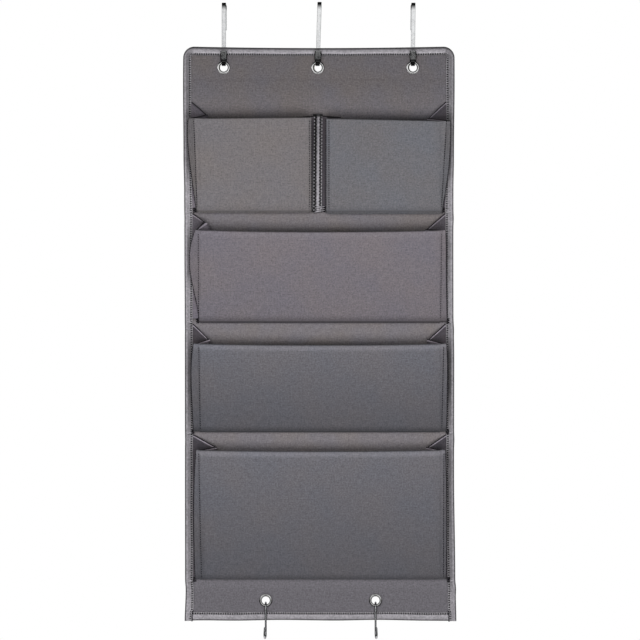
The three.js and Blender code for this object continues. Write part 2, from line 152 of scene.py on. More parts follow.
def hang(x, z):
    """How far the hung panel strays from a flat rectangle, along X, Y and Z. The top edge sags by a
    parabola between its corners, which fades downwards. The sides drift in and out down the panel and
    kink in a bell under each seam. The header is drawn a little to the left. The band under the last seam
    has no board and waves towards its foot, and the waves are still where the S-hooks lie."""
    side = x / HALF_WIDTH
    lift = TOP_SAG * (side**2 - 0.65) * np.exp(-np.maximum(PANEL_TOP - z, 0) / TOP_SAG_REACH)
    kinks = sum(bell(z - seam + KINK_DROP, KINK_REACH) for seam in SEAMS.values())
    down = np.clip((BAND_TOP - z) / (BAND_TOP - PANEL_FOOT), 0, 1)
    fallen = (PANEL_TOP - z) / (PANEL_TOP - PANEL_FOOT)
    left, right = (eased(fallen, DRIFT_PLACES, drift) / 1000 for drift in (LEFT_DRIFT, RIGHT_DRIFT))
    sway = (right - left) / 2
    out = side**8 * np.where(x < 0, -LEFT_KINK, RIGHT_KINK) * kinks
    out = out + sway + side**4 * (np.where(x < 0, -left, right) - sway)
    drawn = HEADER_SHIFT * bell(z - HOLES["top_middle"].z, HEADER_SHIFT_REACH)
    out = out + drawn * (1 - side**2) * (1 + 0.6 * side)
    wave = np.sin(np.pi * (np.abs(x) - S_HOOK_X) / (0.47 * HALF_WIDTH)) ** 2
    forward = -FOOT_WAVE * down**1.5 * wave * (1 - 0.35 * side)
    drop = -FOOT_DROP * down**2 * (side**6 - 1.1 + 0.35 * np.sin(9 * side + 0.8))
    return out, forward, lift + drop


def grid_cells(rows, columns, round_rows=False, round_columns=False):
    """The corner numbers of every cell of a grid of points that is counted along its rows. A round
    direction has one more line of cells, which joins its last points to its first."""
    i = np.arange(rows if round_rows else rows - 1)[:, None]
    j = np.arange(columns if round_columns else columns - 1)[None, :]
    below, beside = (i + 1) % rows, (j + 1) % columns
    corners = (i * columns + j, i * columns + beside, below * columns + beside, below * columns + j)
    return np.stack(np.broadcast_arrays(*corners), -1).reshape(-1, 4)


def outward(points, cells):
    """Unit normals at the points: the sum of the cross products of the diagonals of the cells round each."""
    corner = points[cells]
    turned = np.cross(corner[:, 2] - corner[:, 0], corner[:, 3] - corner[:, 1])
    normals = np.zeros_like(points)
    for k in range(4):
        np.add.at(normals, cells[:, k], turned)
    return normals / np.maximum(np.linalg.norm(normals, axis=1, keepdims=True), 1e-12)


def new_piece(name, points, faces, weave=None, shade=None, sharp=0.9):
    """A smooth-shaded mesh object. Faces are arrays of corner numbers, one for each number of corners.
    Weave is where each point lies on the flat cloth in metres, and shade how pale the piece is there."""
    mesh = bpy.data.meshes.new(name)
    mesh.vertices.add(points.size // 3)
    mesh.vertices.foreach_set("co", points.astype(np.float32).ravel())
    corners = np.concatenate([part.ravel() for part in faces])
    sizes = np.concatenate([np.full(len(part), part.shape[1]) for part in faces])
    mesh.loops.add(len(corners))
    mesh.loops.foreach_set("vertex_index", corners.astype(np.int32))
    mesh.polygons.add(len(sizes))
    mesh.polygons.foreach_set("loop_start", (np.cumsum(sizes) - sizes).astype(np.int32))
    mesh.update(calc_edges=True)
    mesh.validate()
    if weave is not None:
        mesh.uv_layers.new(name="weave").data.foreach_set("uv", weave[corners].astype(np.float32).ravel())
    if shade is not None:
        mesh.attributes.new("shade", "FLOAT", "POINT").data.foreach_set("value", shade.astype(np.float32))
    mesh.shade_smooth()
    mesh.set_sharp_from_angle(angle=sharp)
    piece = bpy.data.objects.new(name, mesh)
    bpy.context.scene.collection.objects.link(piece)
    return piece


def cloth_piece(name, points, cells, thickness, weave, shade):
    """A closed layer of cloth. The points are its outer side, the inner side lies a thickness behind
    them along the normals, and a rim of cells closes every open edge."""
    points = points.reshape(-1, 3)
    count = len(points)
    inner = points - outward(points, cells) * np.broadcast_to(np.ravel(thickness), (count,))[:, None]
    edges = np.concatenate([cells[:, [k, (k + 1) % 4]] for k in range(4)])
    forth, back = edges @ [count, 1], edges @ [1, count]
    a, b = edges[~np.isin(forth, back)].T
    rim = np.stack([b, a, a + count, b + count], 1)
    faces = [np.concatenate([cells, cells[:, ::-1] + count, rim])]
    return new_piece(name, np.concatenate([points, inner]), faces, np.tile(weave.reshape(-1, 2), (2, 1)),
                     np.tile(shade.ravel(), 2))


def grid_lines(low, high, fine_places):
    """Places from low to high at an even step, with closer ones round each fine place."""
    fine_places = np.array(sorted(fine_places))[:, None]
    even = np.linspace(low, high, round((high - low) / GRID_STEP) + 1)
    fine = (fine_places + np.arange(-FINE_REACH, FINE_REACH, FINE_STEP)).ravel()
    far = np.abs(even - fine_places).min(0) > FINE_REACH
    return np.unique(np.concatenate([even[far], fine]))


def face_tone(x, z):
    """How pale the face cloth is at X and Z, as painted shade. The header is painted darker high up than low
    down, and the cloth is painted darker in the band, in a shadow line along the binding, along the header's
    fold line and down in each pocket. A pocket's painted shade starts just under its front's top edge, which
    hides a little less of the cloth behind it the further it is from the middle of the view."""
    header = np.interp(z, HEADER_HEIGHTS, [HEADER_LOW_TONE, HEADER_TONE])
    header = dimmed(header, HEADER_CREASE_SHADE, bell(z - HEADER_LINE, 0.0011))
    band = np.interp(z, [BAND_TOP - BAND_TOP_REACH, BAND_TOP], [BAND_TONE, BAND_TOP_TONE])
    tone = np.where(z > SEAMS["top_left"], header, np.where(z < BAND_TOP, band, 1.0))
    for row in ROWS:
        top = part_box(row + "_pocket_cover")[1].z
        seen = top + SEEN_SHIFT * (top - (PANEL_TOP + PANEL_FOOT) / 2)
        seen = seen - RIGHT_FRONT_LOWER * ((row == "top_left") & (x > 0))
        inside = ramp(seen + POCKET_DEPTH_START, z, POCKET_DEPTH_REACH) * (z > SEAMS[row] + POCKET_SEAM_REACH)
        tone = dimmed(tone, POCKET_SHADE_TONE, inside**1.5)
    from_edge = np.minimum(np.minimum(HALF_WIDTH - np.abs(x), PANEL_TOP - z), z - PANEL_FOOT)
    return dimmed(tone, BINDING_SHADOW_TONE, bell(from_edge - BINDING_REACH, 0.0009))


def panel_cloth(name, depth, lining_tone=None):
    """One cloth layer of the panel, as a grid of X and Z. Its rows grow shorter inside the two round top
    corners. Round each grommet the points inside the cut are pushed out onto its circle, and the cells
    that lie wholly inside it are dropped. A lining, which has one even tone, faces backwards."""
    edge = BINDING_REACH + FINE_REACH / 2
    fine_z = {hole.z for hole in HOLES.values()} | {PANEL_FOOT + edge, PANEL_TOP - edge, HEADER_LINE}
    fine_z |= {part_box(row + "_pocket_cover")[1].z for row in ROWS}
    z = grid_lines(PANEL_FOOT + CLOTH_INSET, PANEL_TOP - CLOTH_INSET, fine_z)[:, None]
    half = HALF_WIDTH - CLOTH_INSET
    fine_x = {hole.x for hole in HOLES.values()} | {HALF_WIDTH - edge, edge - HALF_WIDTH}
    radius = CORNER_RADIUS - CLOTH_INSET
    into_corner = np.maximum(z - (PANEL_TOP - CORNER_RADIUS), 0)
    shorter = radius - np.sqrt(np.maximum(radius**2 - into_corner**2, 0))
    x = grid_lines(-half, half, fine_x) * (1 - shorter / half)
    cells = grid_cells(*x.shape)
    x, z = x.ravel(), np.broadcast_to(z, x.shape).ravel()
    gone = np.zeros(len(cells), bool)
    for hole in HOLES.values():
        from_hole = np.hypot(x - hole.x, z - hole.z)
        inside = from_hole < GROMMET_CUT
        push = np.where(inside, GROMMET_CUT / np.maximum(from_hole, 1e-6), 1)
        x, z = hole.x + (x - hole.x) * push, hole.z + (z - hole.z) * push
        gone |= inside[cells].all(1)
    used, cells = np.unique(cells[~gone], return_inverse=True)
    cells = cells.reshape(-1, 4)
    x, z = x[used], z[used]
    out, forward, up = hang(x, z)
    points = np.stack([x + out, depth + forward, z + up], 1)
    shade = face_tone(x, z)
    if lining_tone:
        cells = cells[:, ::-1]
        shade = np.full(len(x), lining_tone)
    return cloth_piece(name, points, cells, CLOTH, np.stack([x, z], 1), shade)


def feed(tree, node, inputs):
    """Sets a node's inputs. Each is a number, a colour or another node's output, which is linked."""
    for key, value in inputs.items():
        if isinstance(value, bpy.types.NodeSocket):
            tree.links.new(value, node.inputs[key])
        else:
            node.inputs[key].default_value = value


def wire(tree, kind, inputs, out=0, **settings):
    """One output of a new shader node with these inputs and settings."""
    node = tree.nodes.new("ShaderNode" + kind)
    for key, value in settings.items():
        setattr(node, key, value)
    feed(tree, node, inputs)
    return node.outputs[out]


def sums(tree, operation, a, b=0.0):
    """The output of one Math node."""
    return wire(tree, "Math", {0: a, 1: b}, operation=operation)


def total(tree, start, *terms):
    """The start and, for each term, its value times its weight, all added."""
    for value, weight in terms:
        start = sums(tree, "ADD", start, sums(tree, "MULTIPLY", value, weight))
    return start


def noise(tree, place, scale, detail=2.0):
    """The height of a noise of this scale at a place."""
    return wire(tree, "TexNoise", {"Vector": place, "Scale": scale, "Detail": detail})


def mixed(tree, share, first, second):
    """The first colour, going over to the second by a share."""
    return wire(tree, "Mix", {0: share, 6: first, 7: second}, 2, data_type="RGBA")


def srgb(red, green, blue):
    """A colour read off a screen, from 0 to 255, as the linear one that a shader takes."""
    value = np.array([red, green, blue]) / 255
    linear = np.where(value <= 0.04045, value / 12.92, ((value + 0.055) / 1.055) ** 2.4)
    return (*linear.tolist(), 1.0)


def new_material(name):
    """A new material, its node tree and its shader."""
    material = bpy.data.materials.new(name)
    material.use_nodes = True
    return material, material.node_tree, material.node_tree.nodes["Principled BSDF"]


def coat(tree, shader, colour, light, height, strength, depth, roughness, **more):
    """Gives a shader a colour times a light, a bump from a height, its roughness and more inputs."""
    lit = wire(tree, "VectorMath", {0: colour, "Scale": light}, operation="SCALE")
    bump = wire(tree, "Bump", {"Strength": strength, "Distance": depth, "Height": height})
    named = {key.replace("_", " "): value for key, value in more.items()}
    feed(tree, shader, {"Base Color": lit, "Normal": bump, "Roughness": roughness, **named})


def canvas(name, warm, cool, cool_from=-9.0, cool_to=-10.0):
    """Plain-weave polyester canvas. Its height is the product of two sines, one along each thread
    direction. Noise drawn out along each of them gives thick and thin yarns, even noise gives the grain,
    and slow noise shifts the dye between a warm and a cool grey, which is all cool below a given place."""
    material, tree, shader = new_material(name)
    place = wire(tree, "UVMap", {}, uv_map="weave")
    across = wire(tree, "SeparateXYZ", {0: place})
    down = across.node.outputs[1]
    turn = 2 * np.pi / THREAD_PITCH
    knots = sums(tree, "MULTIPLY", *(sums(tree, "SINE", sums(tree, "MULTIPLY", way, turn))
                                     for way in (across, down)))
    yarn = 0.55 / THREAD_PITCH
    slubs = sums(tree, "ADD", *(noise(tree, wire(tree, "Mapping", {0: place, 3: scale}), 1.0)
                                for scale in ((yarn * 0.3, yarn, 1), (yarn, yarn * 0.3, 1))))
    mottle = noise(tree, place, 17.0, 3.0)
    dye = sums(tree, "MAXIMUM", wire(tree, "MapRange", {0: mottle, 1: 0.35, 2: 0.65}),
               wire(tree, "MapRange", {0: down, 1: cool_from, 2: cool_to}))
    shade = wire(tree, "Attribute", {}, "Fac", attribute_name="shade")
    light = total(tree, 0.14, (slubs, 0.44), (knots, 0.07), (noise(tree, place, 560.0, 1.0), 0.84))
    coat(tree, shader, mixed(tree, dye, warm, cool), sums(tree, "MULTIPLY", light, shade),
         sums(tree, "ADD", knots, slubs), 0.5, 0.00012, 0.85, Specular_IOR_Level=0.2, Sheen_Weight=0.12)
    return material


def dress(piece, material, body, slot, *nodes):
    """Gives a finished piece its material and its body, and hides the frame's nodes that it stands for. The
    slot is not used.
    """
    piece.data.materials.clear()
    piece.data.materials.append(material)
    if body:
        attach(piece, body)
    if nodes:
        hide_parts(*nodes)
    return piece


panel_canvas = canvas("panel canvas", srgb(121, 115, 115), srgb(117, 114, 120), SEAMS["lower"], BAND_TOP)
face_cloth = dress(panel_cloth("face_cloth", FACE_FRONT), panel_canvas, "panel", "panel_cloth",
                   "back_face_cloth")

# The lining: the same canvas behind the boards, so that the panel is a flat sleeve round each board. The
# washers of the grommets bear on it.
LINING_TONE = 0.85
lining_cloth = dress(panel_cloth("lining_cloth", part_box("back_lining_cloth")[1].y, LINING_TONE),
                     panel_canvas, "panel", "panel_cloth", "back_lining_cloth")

# The stiffener boards: grey recycled sheet, die cut, one behind the header and one behind each row of
# pockets. They slide into the sleeve before its seams are sewn, so nothing shows of them.


def board_material():
    """Pressed sheet: fine flecks of a darker grey, with the faint roll marks of its making."""
    material, tree, shader = new_material("stiffener sheet")
    place = wire(tree, "TexCoord", {}, "Object")
    flecks = noise(tree, place, 900.0, 3.0)
    marks = wire(tree, "TexWave", {"Vector": place, "Scale": 60.0, "Distortion": 2.0})
    colour = mixed(tree, sums(tree, "MULTIPLY", flecks, marks), srgb(196, 193, 187), srgb(168, 164, 158))
    coat(tree, shader, colour, 1.0, flecks, 0.3, 0.0001, 0.7)
    return material


stiffener_sheet = board_material()
for row in ("top", "upper", "lower", "bottom"):
    dress(frame["nodes"]["back_board_" + row], stiffener_sheet, None, "stiffener_board")

# The edge binding: pale woven tape, folded over the raw edges of both cloths and sewn through with one
# row of lockstitch. It runs up one side, over the top and down the other, and is tucked at its corners.
TAPE_WIDTH = 0.010
TAPE_THICKNESS = 0.0005
TAPE_FRONT = 0.0008
TAPE_BACK = 0.0034
TAPE_STEP = 0.0018
TAPE_PUCKER = 0.00026
TAPE_SELVAGE = 0.0006
TAPE_RIB_PITCH = 0.0009
TAPE_FOLD_REACH = 0.0028
TAPE_GREY = srgb(146, 143, 148)
SELVAGE_GREY = srgb(170, 167, 172)
FRONT_FLAP = (1, 0.96, 0.91, 0.86, 0.8, 0.74, 0.68, 0.62, 0.56, 0.5, 0.43, 0.36, 0.29)
REAR_FLAP = (0.36, 0.6, 0.68, 0.76, 0.9, 1)
STITCH_INSET = 0.0085
STITCH_PITCH = 0.0029
STITCH_LENGTH = 0.0018
STITCH_RADIUS = 0.00028
STITCH_RISE = 0.00012
NEEDLE_HOLE = 0.0015
END_LAP = 0.012
END_LAP_RISE = 0.0010
END_LAP_NARROW = 0.0018
CORNER_TUCK = 0.0006
LEVEL_TAPE_WIDER = 0.0007
# The tape's painted light and shade at these millimetres from its outer edge, dark at the fold and the stitch
# line with a painted highlight on the flank between: on the upright runs, on top and along the foot
TONE_PLACES = (0.0, 0.9, 1.6, 2.3, 3.1, 4.3, 5.6, 6.8, 7.8, 8.8, 9.6, 10.0)
UPRIGHT_TONES = (0.08, 0.12, 0.62, 1.10, 0.84, 0.80, 0.82, 0.86, 0.74, 0.66, 0.94, 0.90)
TOP_TONES = (0.12, 0.16, 0.20, 0.34, 0.77, 1.01, 1.11, 1.40, 1.16, 0.46, 0.42, 0.42)
FOOT_TONES = (0.10, 0.10, 0.50, 0.84, 0.90, 0.88, 1.00, 0.98, 0.56, 0.40, 0.80, 0.80)
# How much paler or darker the left and right runs are, and how dark the painted shade on their inner part is,
# mostly the shadow of the pocket flanges, at shares of the way down
RUN_TONES_PLACES = (0.05, 0.17, 0.26, 0.38, 0.58, 0.80, 0.96)
RUN_TONES = ((1.03, 1.02, 1.34, 1.32, 0.97, 0.95, 1.05), (0.84, 0.99, 1.32, 1.26, 1.02, 0.90, 0.98))
TAPE_INNER_SHADE_PLACES = (0.0, 0.10, 0.13, 0.20, 0.25, 0.285, 0.31, 0.335, 0.39, 0.42, 0.47, 0.50, 0.53, 0.60, 0.65,
                0.68, 0.71, 0.93, 0.95, 1.0)
TAPE_INNER_SHADE = ((0.58, 0.58, 0.38, 0.45, 0.95, 0.95, 0.85, 0.50, 0.50, 0.90, 0.90, 0.70, 0.38, 0.42, 0.60, 0.90,
          0.74, 0.74, 1.0, 1.0),
         (0.80, 0.80, 0.38, 0.38, 0.85, 0.90, 0.80, 0.85, 0.85, 0.90, 0.90, 0.72, 0.30, 0.30, 0.60, 0.90,
          0.60, 0.60, 0.98, 0.98))
# Painted shade in the tape's creases at the rows' seams and in the folds of its corner tucks
SEAM_CREASE_SHADE = 0.45
CORNER_CREASE_SHADE = 0.40
UP = (0.0, 0.0, 1.0)
FORWARD = (0.0, -1.0, 0.0)


def unit(vectors):
    """The vectors at length 1."""
    return vectors / np.linalg.norm(vectors, axis=-1, keepdims=True)


def run_along(line):
    """The length run along a line of points, from 0 at its first one."""
    return np.concatenate([[0], np.cumsum(np.linalg.norm(np.diff(line, axis=0), axis=1))])


def wave(run, length, phase=0.0):
    """A sine wave of this length along a run."""
    return np.sin(run / length * 2 * np.pi + phase)


def panel_edge():
    """The panel's edge from the left foot up, over the top and down to the right foot: places in X and Z,
    the direction inwards at each, and the length run. Straight sides and a straight top are joined by
    quarter circles."""
    corner_x, corner_z = HALF_WIDTH - CORNER_RADIUS, PANEL_TOP - CORNER_RADIUS
    side = corner_z - PANEL_FOOT
    quarter = CORNER_RADIUS * np.pi / 2
    whole = 2 * side + 2 * quarter + 2 * corner_x
    run = np.linspace(0, whole, round(whole / TAPE_STEP) + 1)
    half = np.minimum(run, whole - run)
    sign = np.where(run < whole / 2, -1.0, 1.0)
    angle = np.clip((half - side) / CORNER_RADIUS, 0, np.pi / 2)
    along_top = np.maximum(half - side - quarter, 0)
    x = sign * (corner_x - along_top + CORNER_RADIUS * np.cos(angle))
    z = PANEL_FOOT + np.minimum(half, side) + CORNER_RADIUS * np.sin(angle)
    return np.stack([x, z], 1), np.stack([-sign * np.cos(angle), -np.sin(angle)], 1), run


def tape_profile():
    """The folded tape across its width, from its front selvage round the fold to its rear one: how far
    in from the panel's edge, how far in front of the face cloth, and the width run from the fold."""
    turn = np.linspace(0, np.pi, 9)
    half_depth, middle = (TAPE_FRONT + TAPE_BACK) / 2, (TAPE_FRONT - TAPE_BACK) / 2
    front, rear = np.array(FRONT_FLAP) * TAPE_WIDTH, np.array(REAR_FLAP) * TAPE_WIDTH
    inset = np.concatenate([front, half_depth * (1 - np.sin(turn)), rear])
    depth = np.concatenate([front * 0 + TAPE_FRONT, middle + half_depth * np.cos(turn), rear * 0 - TAPE_BACK])
    width = run_along(np.stack([inset, depth], 1))
    return inset, depth, width - width[len(front) + len(turn) // 2]


def on_grid(points, down, across):
    """Points between those of a grid, at fractional row and column numbers: the four points round each are
    weighed by how near they are."""
    down, across = np.broadcast_arrays(down, across)
    i = np.clip(down.astype(int), 0, points.shape[0] - 2)
    j = np.clip(across.astype(int), 0, points.shape[1] - 2)
    s, t = (down - i)[..., None], (across - j)[..., None]
    upper, lower = (points[k, j] * (1 - t) + points[k, j + 1] * t for k in (i, i + 1))
    return upper * (1 - s) + lower * s


def bound_edge(places, inward, run, lap, level_tones):
    """Points of a folded tape along an edge, as a grid. The flaps are drawn down along the stitches and
    pucker beside them in short waves. Lap, from 0 to 1, lifts and narrows a turned-in end, and in the
    corners the inner part of the tape stands up in small tucks."""
    run, lap = run[:, None], lap[:, None]
    flap = ramp(tape_inset, 0.003, 0.004)
    bent = np.abs(inward[:, :1] * inward[:, 1:]) * 2
    proud = TAPE_PUCKER * (wave(run, 0.0041) + 0.7 * wave(run, 0.0067, 1.3)) + 0.0002 * wave(run, 0.047)
    proud = (proud + CORNER_TUCK * bent * (0.6 + 0.6 * wave(run, 0.0052))) * flap + lap * END_LAP_RISE
    proud = np.maximum(proud - 0.00018 * bell(tape_inset - STITCH_INSET, 0.0011), -0.00025)
    deep = tape_depth + np.where(tape_depth > (TAPE_FRONT - TAPE_BACK) / 2, 1, -1) * proud
    level = np.abs(inward[:, 1:])
    into = tape_inset * (1 - lap * END_LAP_NARROW / TAPE_WIDTH * flap)
    into = into * (1 + level * LEVEL_TAPE_WIDER / TAPE_WIDTH * flap) * (1 - 0.06 * bent * flap)
    into = into + 0.0002 * wave(run, 0.083, 0.7) * flap
    x, z = np.moveaxis(places[:, None, :] + inward[:, None, :] * into[..., None], -1, 0)
    out, forward, up = hang(x, z)
    points = np.stack([x + out, FACE_FRONT + forward - deep, z + up], -1)
    weave = np.stack(np.broadcast_arrays(run, tape_run), -1)
    upright, levelled = (np.interp(tape_inset * 1000, TONE_PLACES, tones)
                         for tones in (UPRIGHT_TONES, level_tones))
    return points, weave, upright + (levelled - upright) * level**2


def shaded(tree, light):
    """A light times how pale the piece is there."""
    return sums(tree, "MULTIPLY", light, wire(tree, "Attribute", {}, "Fac", attribute_name="shade"))


def tape_material(name, stitch_line):
    """Woven tape: ribs across its run, a paler selvage, and a row of needle holes at the stitch line, dented
    in and painted dark as the shade in them, whose mask is the distance to the nearest hole."""
    material, tree, shader = new_material(name)
    run = wire(tree, "SeparateXYZ", {0: wire(tree, "UVMap", {}, uv_map="weave")})
    width = sums(tree, "ABSOLUTE", run.node.outputs[1])
    ribs = sums(tree, "SINE", sums(tree, "MULTIPLY", run, 2 * np.pi / TAPE_RIB_PITCH))
    aside = (sums(tree, "SUBTRACT", width, stitch_line), sums(tree, "PINGPONG", run, STITCH_PITCH / 2))
    away = sums(tree, "SQRT", sums(tree, "ADD", *(sums(tree, "MULTIPLY", side, side) for side in aside)))
    hole = wire(tree, "MapRange", {0: away, 1: NEEDLE_HOLE, 2: NEEDLE_HOLE * 0.6})
    edge = wire(tree, "MapRange", {0: width, 1: TAPE_HALF - 2 * TAPE_SELVAGE, 2: TAPE_HALF})
    place = wire(tree, "TexCoord", {}, "Object")
    light = total(tree, 0.15, (noise(tree, place, 430.0), 1.19), (noise(tree, place, 60.0), 0.51),
                  (ribs, 0.03))
    light = shaded(tree, sums(tree, "MULTIPLY", light, total(tree, 1.0, (hole, -0.9))))
    height = total(tree, 0.0, (ribs, 0.3), (hole, -1.0))
    coat(tree, shader, mixed(tree, edge, TAPE_GREY, SELVAGE_GREY), light, height, 0.6, 0.00015, 0.6,
         Specular_IOR_Level=0.3, Sheen_Weight=0.15)
    return material


def thread_material(name, *colour):
    """Dull spun sewing thread: two plies seen as a fine diagonal stripe."""
    material, tree, shader = new_material(name)
    place = wire(tree, "TexCoord", {}, "Object")
    plies = wire(tree, "TexWave", {"Vector": place, "Scale": 700.0}, bands_direction="DIAGONAL")
    coat(tree, shader, srgb(*colour)[:3], total(tree, 0.85, (plies, 0.25)), plies, 0.4, 0.0001, 0.75,
         Specular_IOR_Level=0.1)
    return material


def end_fans(rows, columns):
    """The triangles that close a tube of round rows from two tips, which are numbered after its points."""
    ring = np.arange(columns)
    beside = (ring + 1) % columns
    count, last = rows * columns, (rows - 1) * columns
    return np.concatenate([np.stack([beside, ring, 0 * ring + count], 1),
                           np.stack([last + ring, last + beside, 0 * ring + count + 1], 1)])


def stitches(name, middles, along, out, material, slot="binding_tape", body="panel", length=STITCH_LENGTH,
             radius=STITCH_RADIUS):
    """One row of stitches. Each is a six-sided rod with pointed ends, bowed so that its ends dip into the
    cloth: its centre line falls with the square of the distance from its middle."""
    share = np.array([-0.46, -0.3, 0.3, 0.46])
    thick = np.array([0.75, 1.0, 1.0, 0.75])
    angle = np.arange(6) * np.pi / 3
    rod = np.stack([np.repeat(share * length, 6), np.outer(thick, np.cos(angle)).ravel() * radius,
                    np.outer(thick, np.sin(angle)).ravel() * radius], 1)
    rod = np.concatenate([rod, [[-length / 2, 0, 0], [length / 2, 0, 0]]])
    rod[:, 2] -= 2.5 * radius * (2 * rod[:, 0] / length) ** 2
    along, out = np.broadcast_to(along, middles.shape), np.broadcast_to(out, middles.shape)
    frames = np.stack([along, np.cross(out, along), out], 1)
    points = middles[:, None, :] + np.einsum("vk,nkc->nvc", rod, frames)
    shift = (np.arange(len(middles)) * len(rod))[:, None, None]
    faces = [(part + shift).reshape(-1, part.shape[1])
             for part in (grid_cells(4, 6, round_columns=True), end_fans(4, 6))]
    return dress(new_piece(name, points, faces), material, body, slot)


tape_inset, tape_depth, tape_run = tape_profile()
TAPE_HALF = abs(tape_run[0])
tape = tape_material("binding tape", TAPE_HALF - (TAPE_WIDTH - STITCH_INSET))
pale_thread = thread_material("grey sewing thread", 172, 169, 174)
# Near-black thread: real stitches whose dark colour also stands in for the shade in their dents
dark_thread = thread_material("dark sewing thread", 26, 24, 30)


def tape_stitches(name, points, inward, run):
    """The lockstitches of a binding, at an even pitch, on the front flap and again on the rear one. They
    lie on the tape's own points, between the two columns beside the stitch line."""
    at = (np.arange(int(run[-1] / STITCH_PITCH)) + 0.5) * STITCH_PITCH
    in_x, in_z = (np.interp(at, run, values) for values in inward.T)
    along = unit(np.stack([in_z, 0 * at, -in_x], 1))
    flat = tape_inset > TAPE_FOLD_REACH
    rows = []
    for flap, facing in ((flat & (tape_depth > 0), -1), (flat & (tape_depth < -TAPE_FRONT), 1)):
        order = np.argsort(tape_inset[flap])
        column = np.interp(STITCH_INSET, tape_inset[flap][order], np.flatnonzero(flap)[order])
        middles = on_grid(points, np.interp(at, run, np.arange(len(run))), column)
        middles[:, 1] += facing * STITCH_RISE
        rows.append((middles, along * -facing, 0 * middles + [0, facing, 0]))
    return stitches(name, *(np.concatenate(parts) for parts in zip(*rows)), pale_thread)


places, inward, run = panel_edge()
lap = 1 - ramp(np.minimum(run, run[-1] - run), END_LAP, 0.002)
points, weave, tone = bound_edge(places, inward, run, lap, TOP_TONES)
x, z = places.T[..., None]
fallen = (PANEL_TOP - z) / (PANEL_TOP - PANEL_FOOT)
# The side runs grow paler or darker down the panel, and painted shade, mostly the pocket flanges' shadow,
# darkens their inner part
down_tone = np.where(x < 0, *(np.interp(fallen, RUN_TONES_PLACES, side) for side in RUN_TONES))
dark = np.where(x < 0, *(np.interp(fallen, TAPE_INNER_SHADE_PLACES, side) for side in TAPE_INNER_SHADE))
upright = inward[:, :1] ** 2
inner = ramp(tape_inset, 0.0030, 0.0014) * np.where(fallen < 0.1, tape_inset < 0.0091, True)
tone = tone * (1 + (down_tone - 1) * upright) * (1 - (1 - dark) * upright * inner)
# Painted shade in the creases at the seams and in the folds of the corner tucks
crease = sum(bell(z - seam + 0.001, 0.0013) for seam in SEAMS.values()) * upright
tone = tone * (1 - SEAM_CREASE_SHADE * crease * ramp(tape_inset, 0.002, 0.002))
folds = np.abs(inward[:, :1] * inward[:, 1:]) * 2 * np.clip(wave(run[:, None], 0.0068) + 0.2, 0, 1)
tone = tone * (1 - CORNER_CREASE_SHADE * folds * ramp(tape_inset, 0.003, 0.003))
edge_tape = cloth_piece("edge_tape", points, grid_cells(*tone.shape)[:, ::-1], TAPE_THICKNESS, weave, tone)
dress(edge_tape, tape, "panel", "binding_tape", "edge_binding")
edge_stitches = tape_stitches("edge_tape_stitches", points, inward, run)

# The bottom binding: the same tape along the foot of the panel. It is sewn on first, so that its ends lie
# under the turned-in ends of the side runs, which are tacked down over them.
BOTTOM_TAPE_END = 0.0045
END_TACKS = 5
END_TACK_PITCH = 0.0028
END_TACK_INSET = 0.0091

half = HALF_WIDTH - BOTTOM_TAPE_END
run = np.linspace(0, 2 * half, round(2 * half / TAPE_STEP) + 1)
places = np.stack([run - half, 0 * run + PANEL_FOOT], 1)
inward = np.tile([0.0, 1.0], (len(run), 1))
points, weave, tone = bound_edge(places, inward, run, 0 * run, FOOT_TONES)
bottom_tape = cloth_piece("bottom_tape", points, grid_cells(*tone.shape), TAPE_THICKNESS, weave, tone)
dress(bottom_tape, tape, "panel", "binding_tape", "bottom_binding")
bottom_stitches = tape_stitches("bottom_tape_stitches", points, inward, run)

# The end tacks are thick near-black stitches: real tacks that also stand in for the shadow along the inner
# edge of each side run's turned-in end
x = np.repeat([-1, 1], END_TACKS) * (HALF_WIDTH - END_TACK_INSET)
z = PANEL_FOOT + np.tile(np.arange(END_TACKS) * END_TACK_PITCH + 0.0005, 2)
out, forward, up = hang(x, z)
middles = np.stack([x + out, FACE_FRONT + forward - TAPE_FRONT - END_LAP_RISE, z + up], 1)
end_tacks = stitches("tape_end_tacks", middles, UP, FORWARD, dark_thread, length=1.15 * END_TACK_PITCH,
                     radius=0.0008)

# The divider tape: a strip of the same tape between the two top pockets, sewn down along both edges over
# the back edges of their gussets. Its top end is turned into a small roll and its foot is bar-tacked.
divider_low, divider_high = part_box("divider_tape")
DIVIDER_WIDER = 0.0021
DIVIDER_HALF = (divider_high.x - divider_low.x) / 2 + DIVIDER_WIDER
DIVIDER_ROLL = 0.0011
DIVIDER_HEIGHT = divider_high.z - divider_low.z - DIVIDER_ROLL
DIVIDER_STITCH_INSET = 0.0023
DIVIDER_CROWN = 0.0005
DIVIDER_FOOT_SPREAD = 0.0024
DIVIDER_DRIFT = -0.0027
DIVIDER_STRAIGHTENS = 0.33
DIVIDER_PALES = 0.45
# The strip's painted light at shares of its half width, from the left to the right: a painted highlight on
# its raised middle and painted shade by its stitched edges
DIVIDER_TONES = (
    (-1.0, -0.92, -0.80, -0.66, -0.56, -0.30, -0.18, 0.05, 0.25, 0.38, 0.48, 0.72, 0.80, 0.93, 1.0),
    (0.10, 0.30, 0.30, 0.14, 0.05, 0.05, 0.62, 1.00, 1.15, 0.75, 0.36, 0.36, 0.50, 0.45, 0.06))
DIVIDER_STITCH_PITCH = 0.0043
DIVIDER_STITCH_RISE = 0.0010
BAR_TACK_HEIGHT = 0.0075


def divider_middle(up):
    """Where the divider's middle is, as X by height above its foot: it drifts to the left, less so higher."""
    return DIVIDER_DRIFT * (1 - DIVIDER_STRAIGHTENS * up / DIVIDER_HEIGHT)


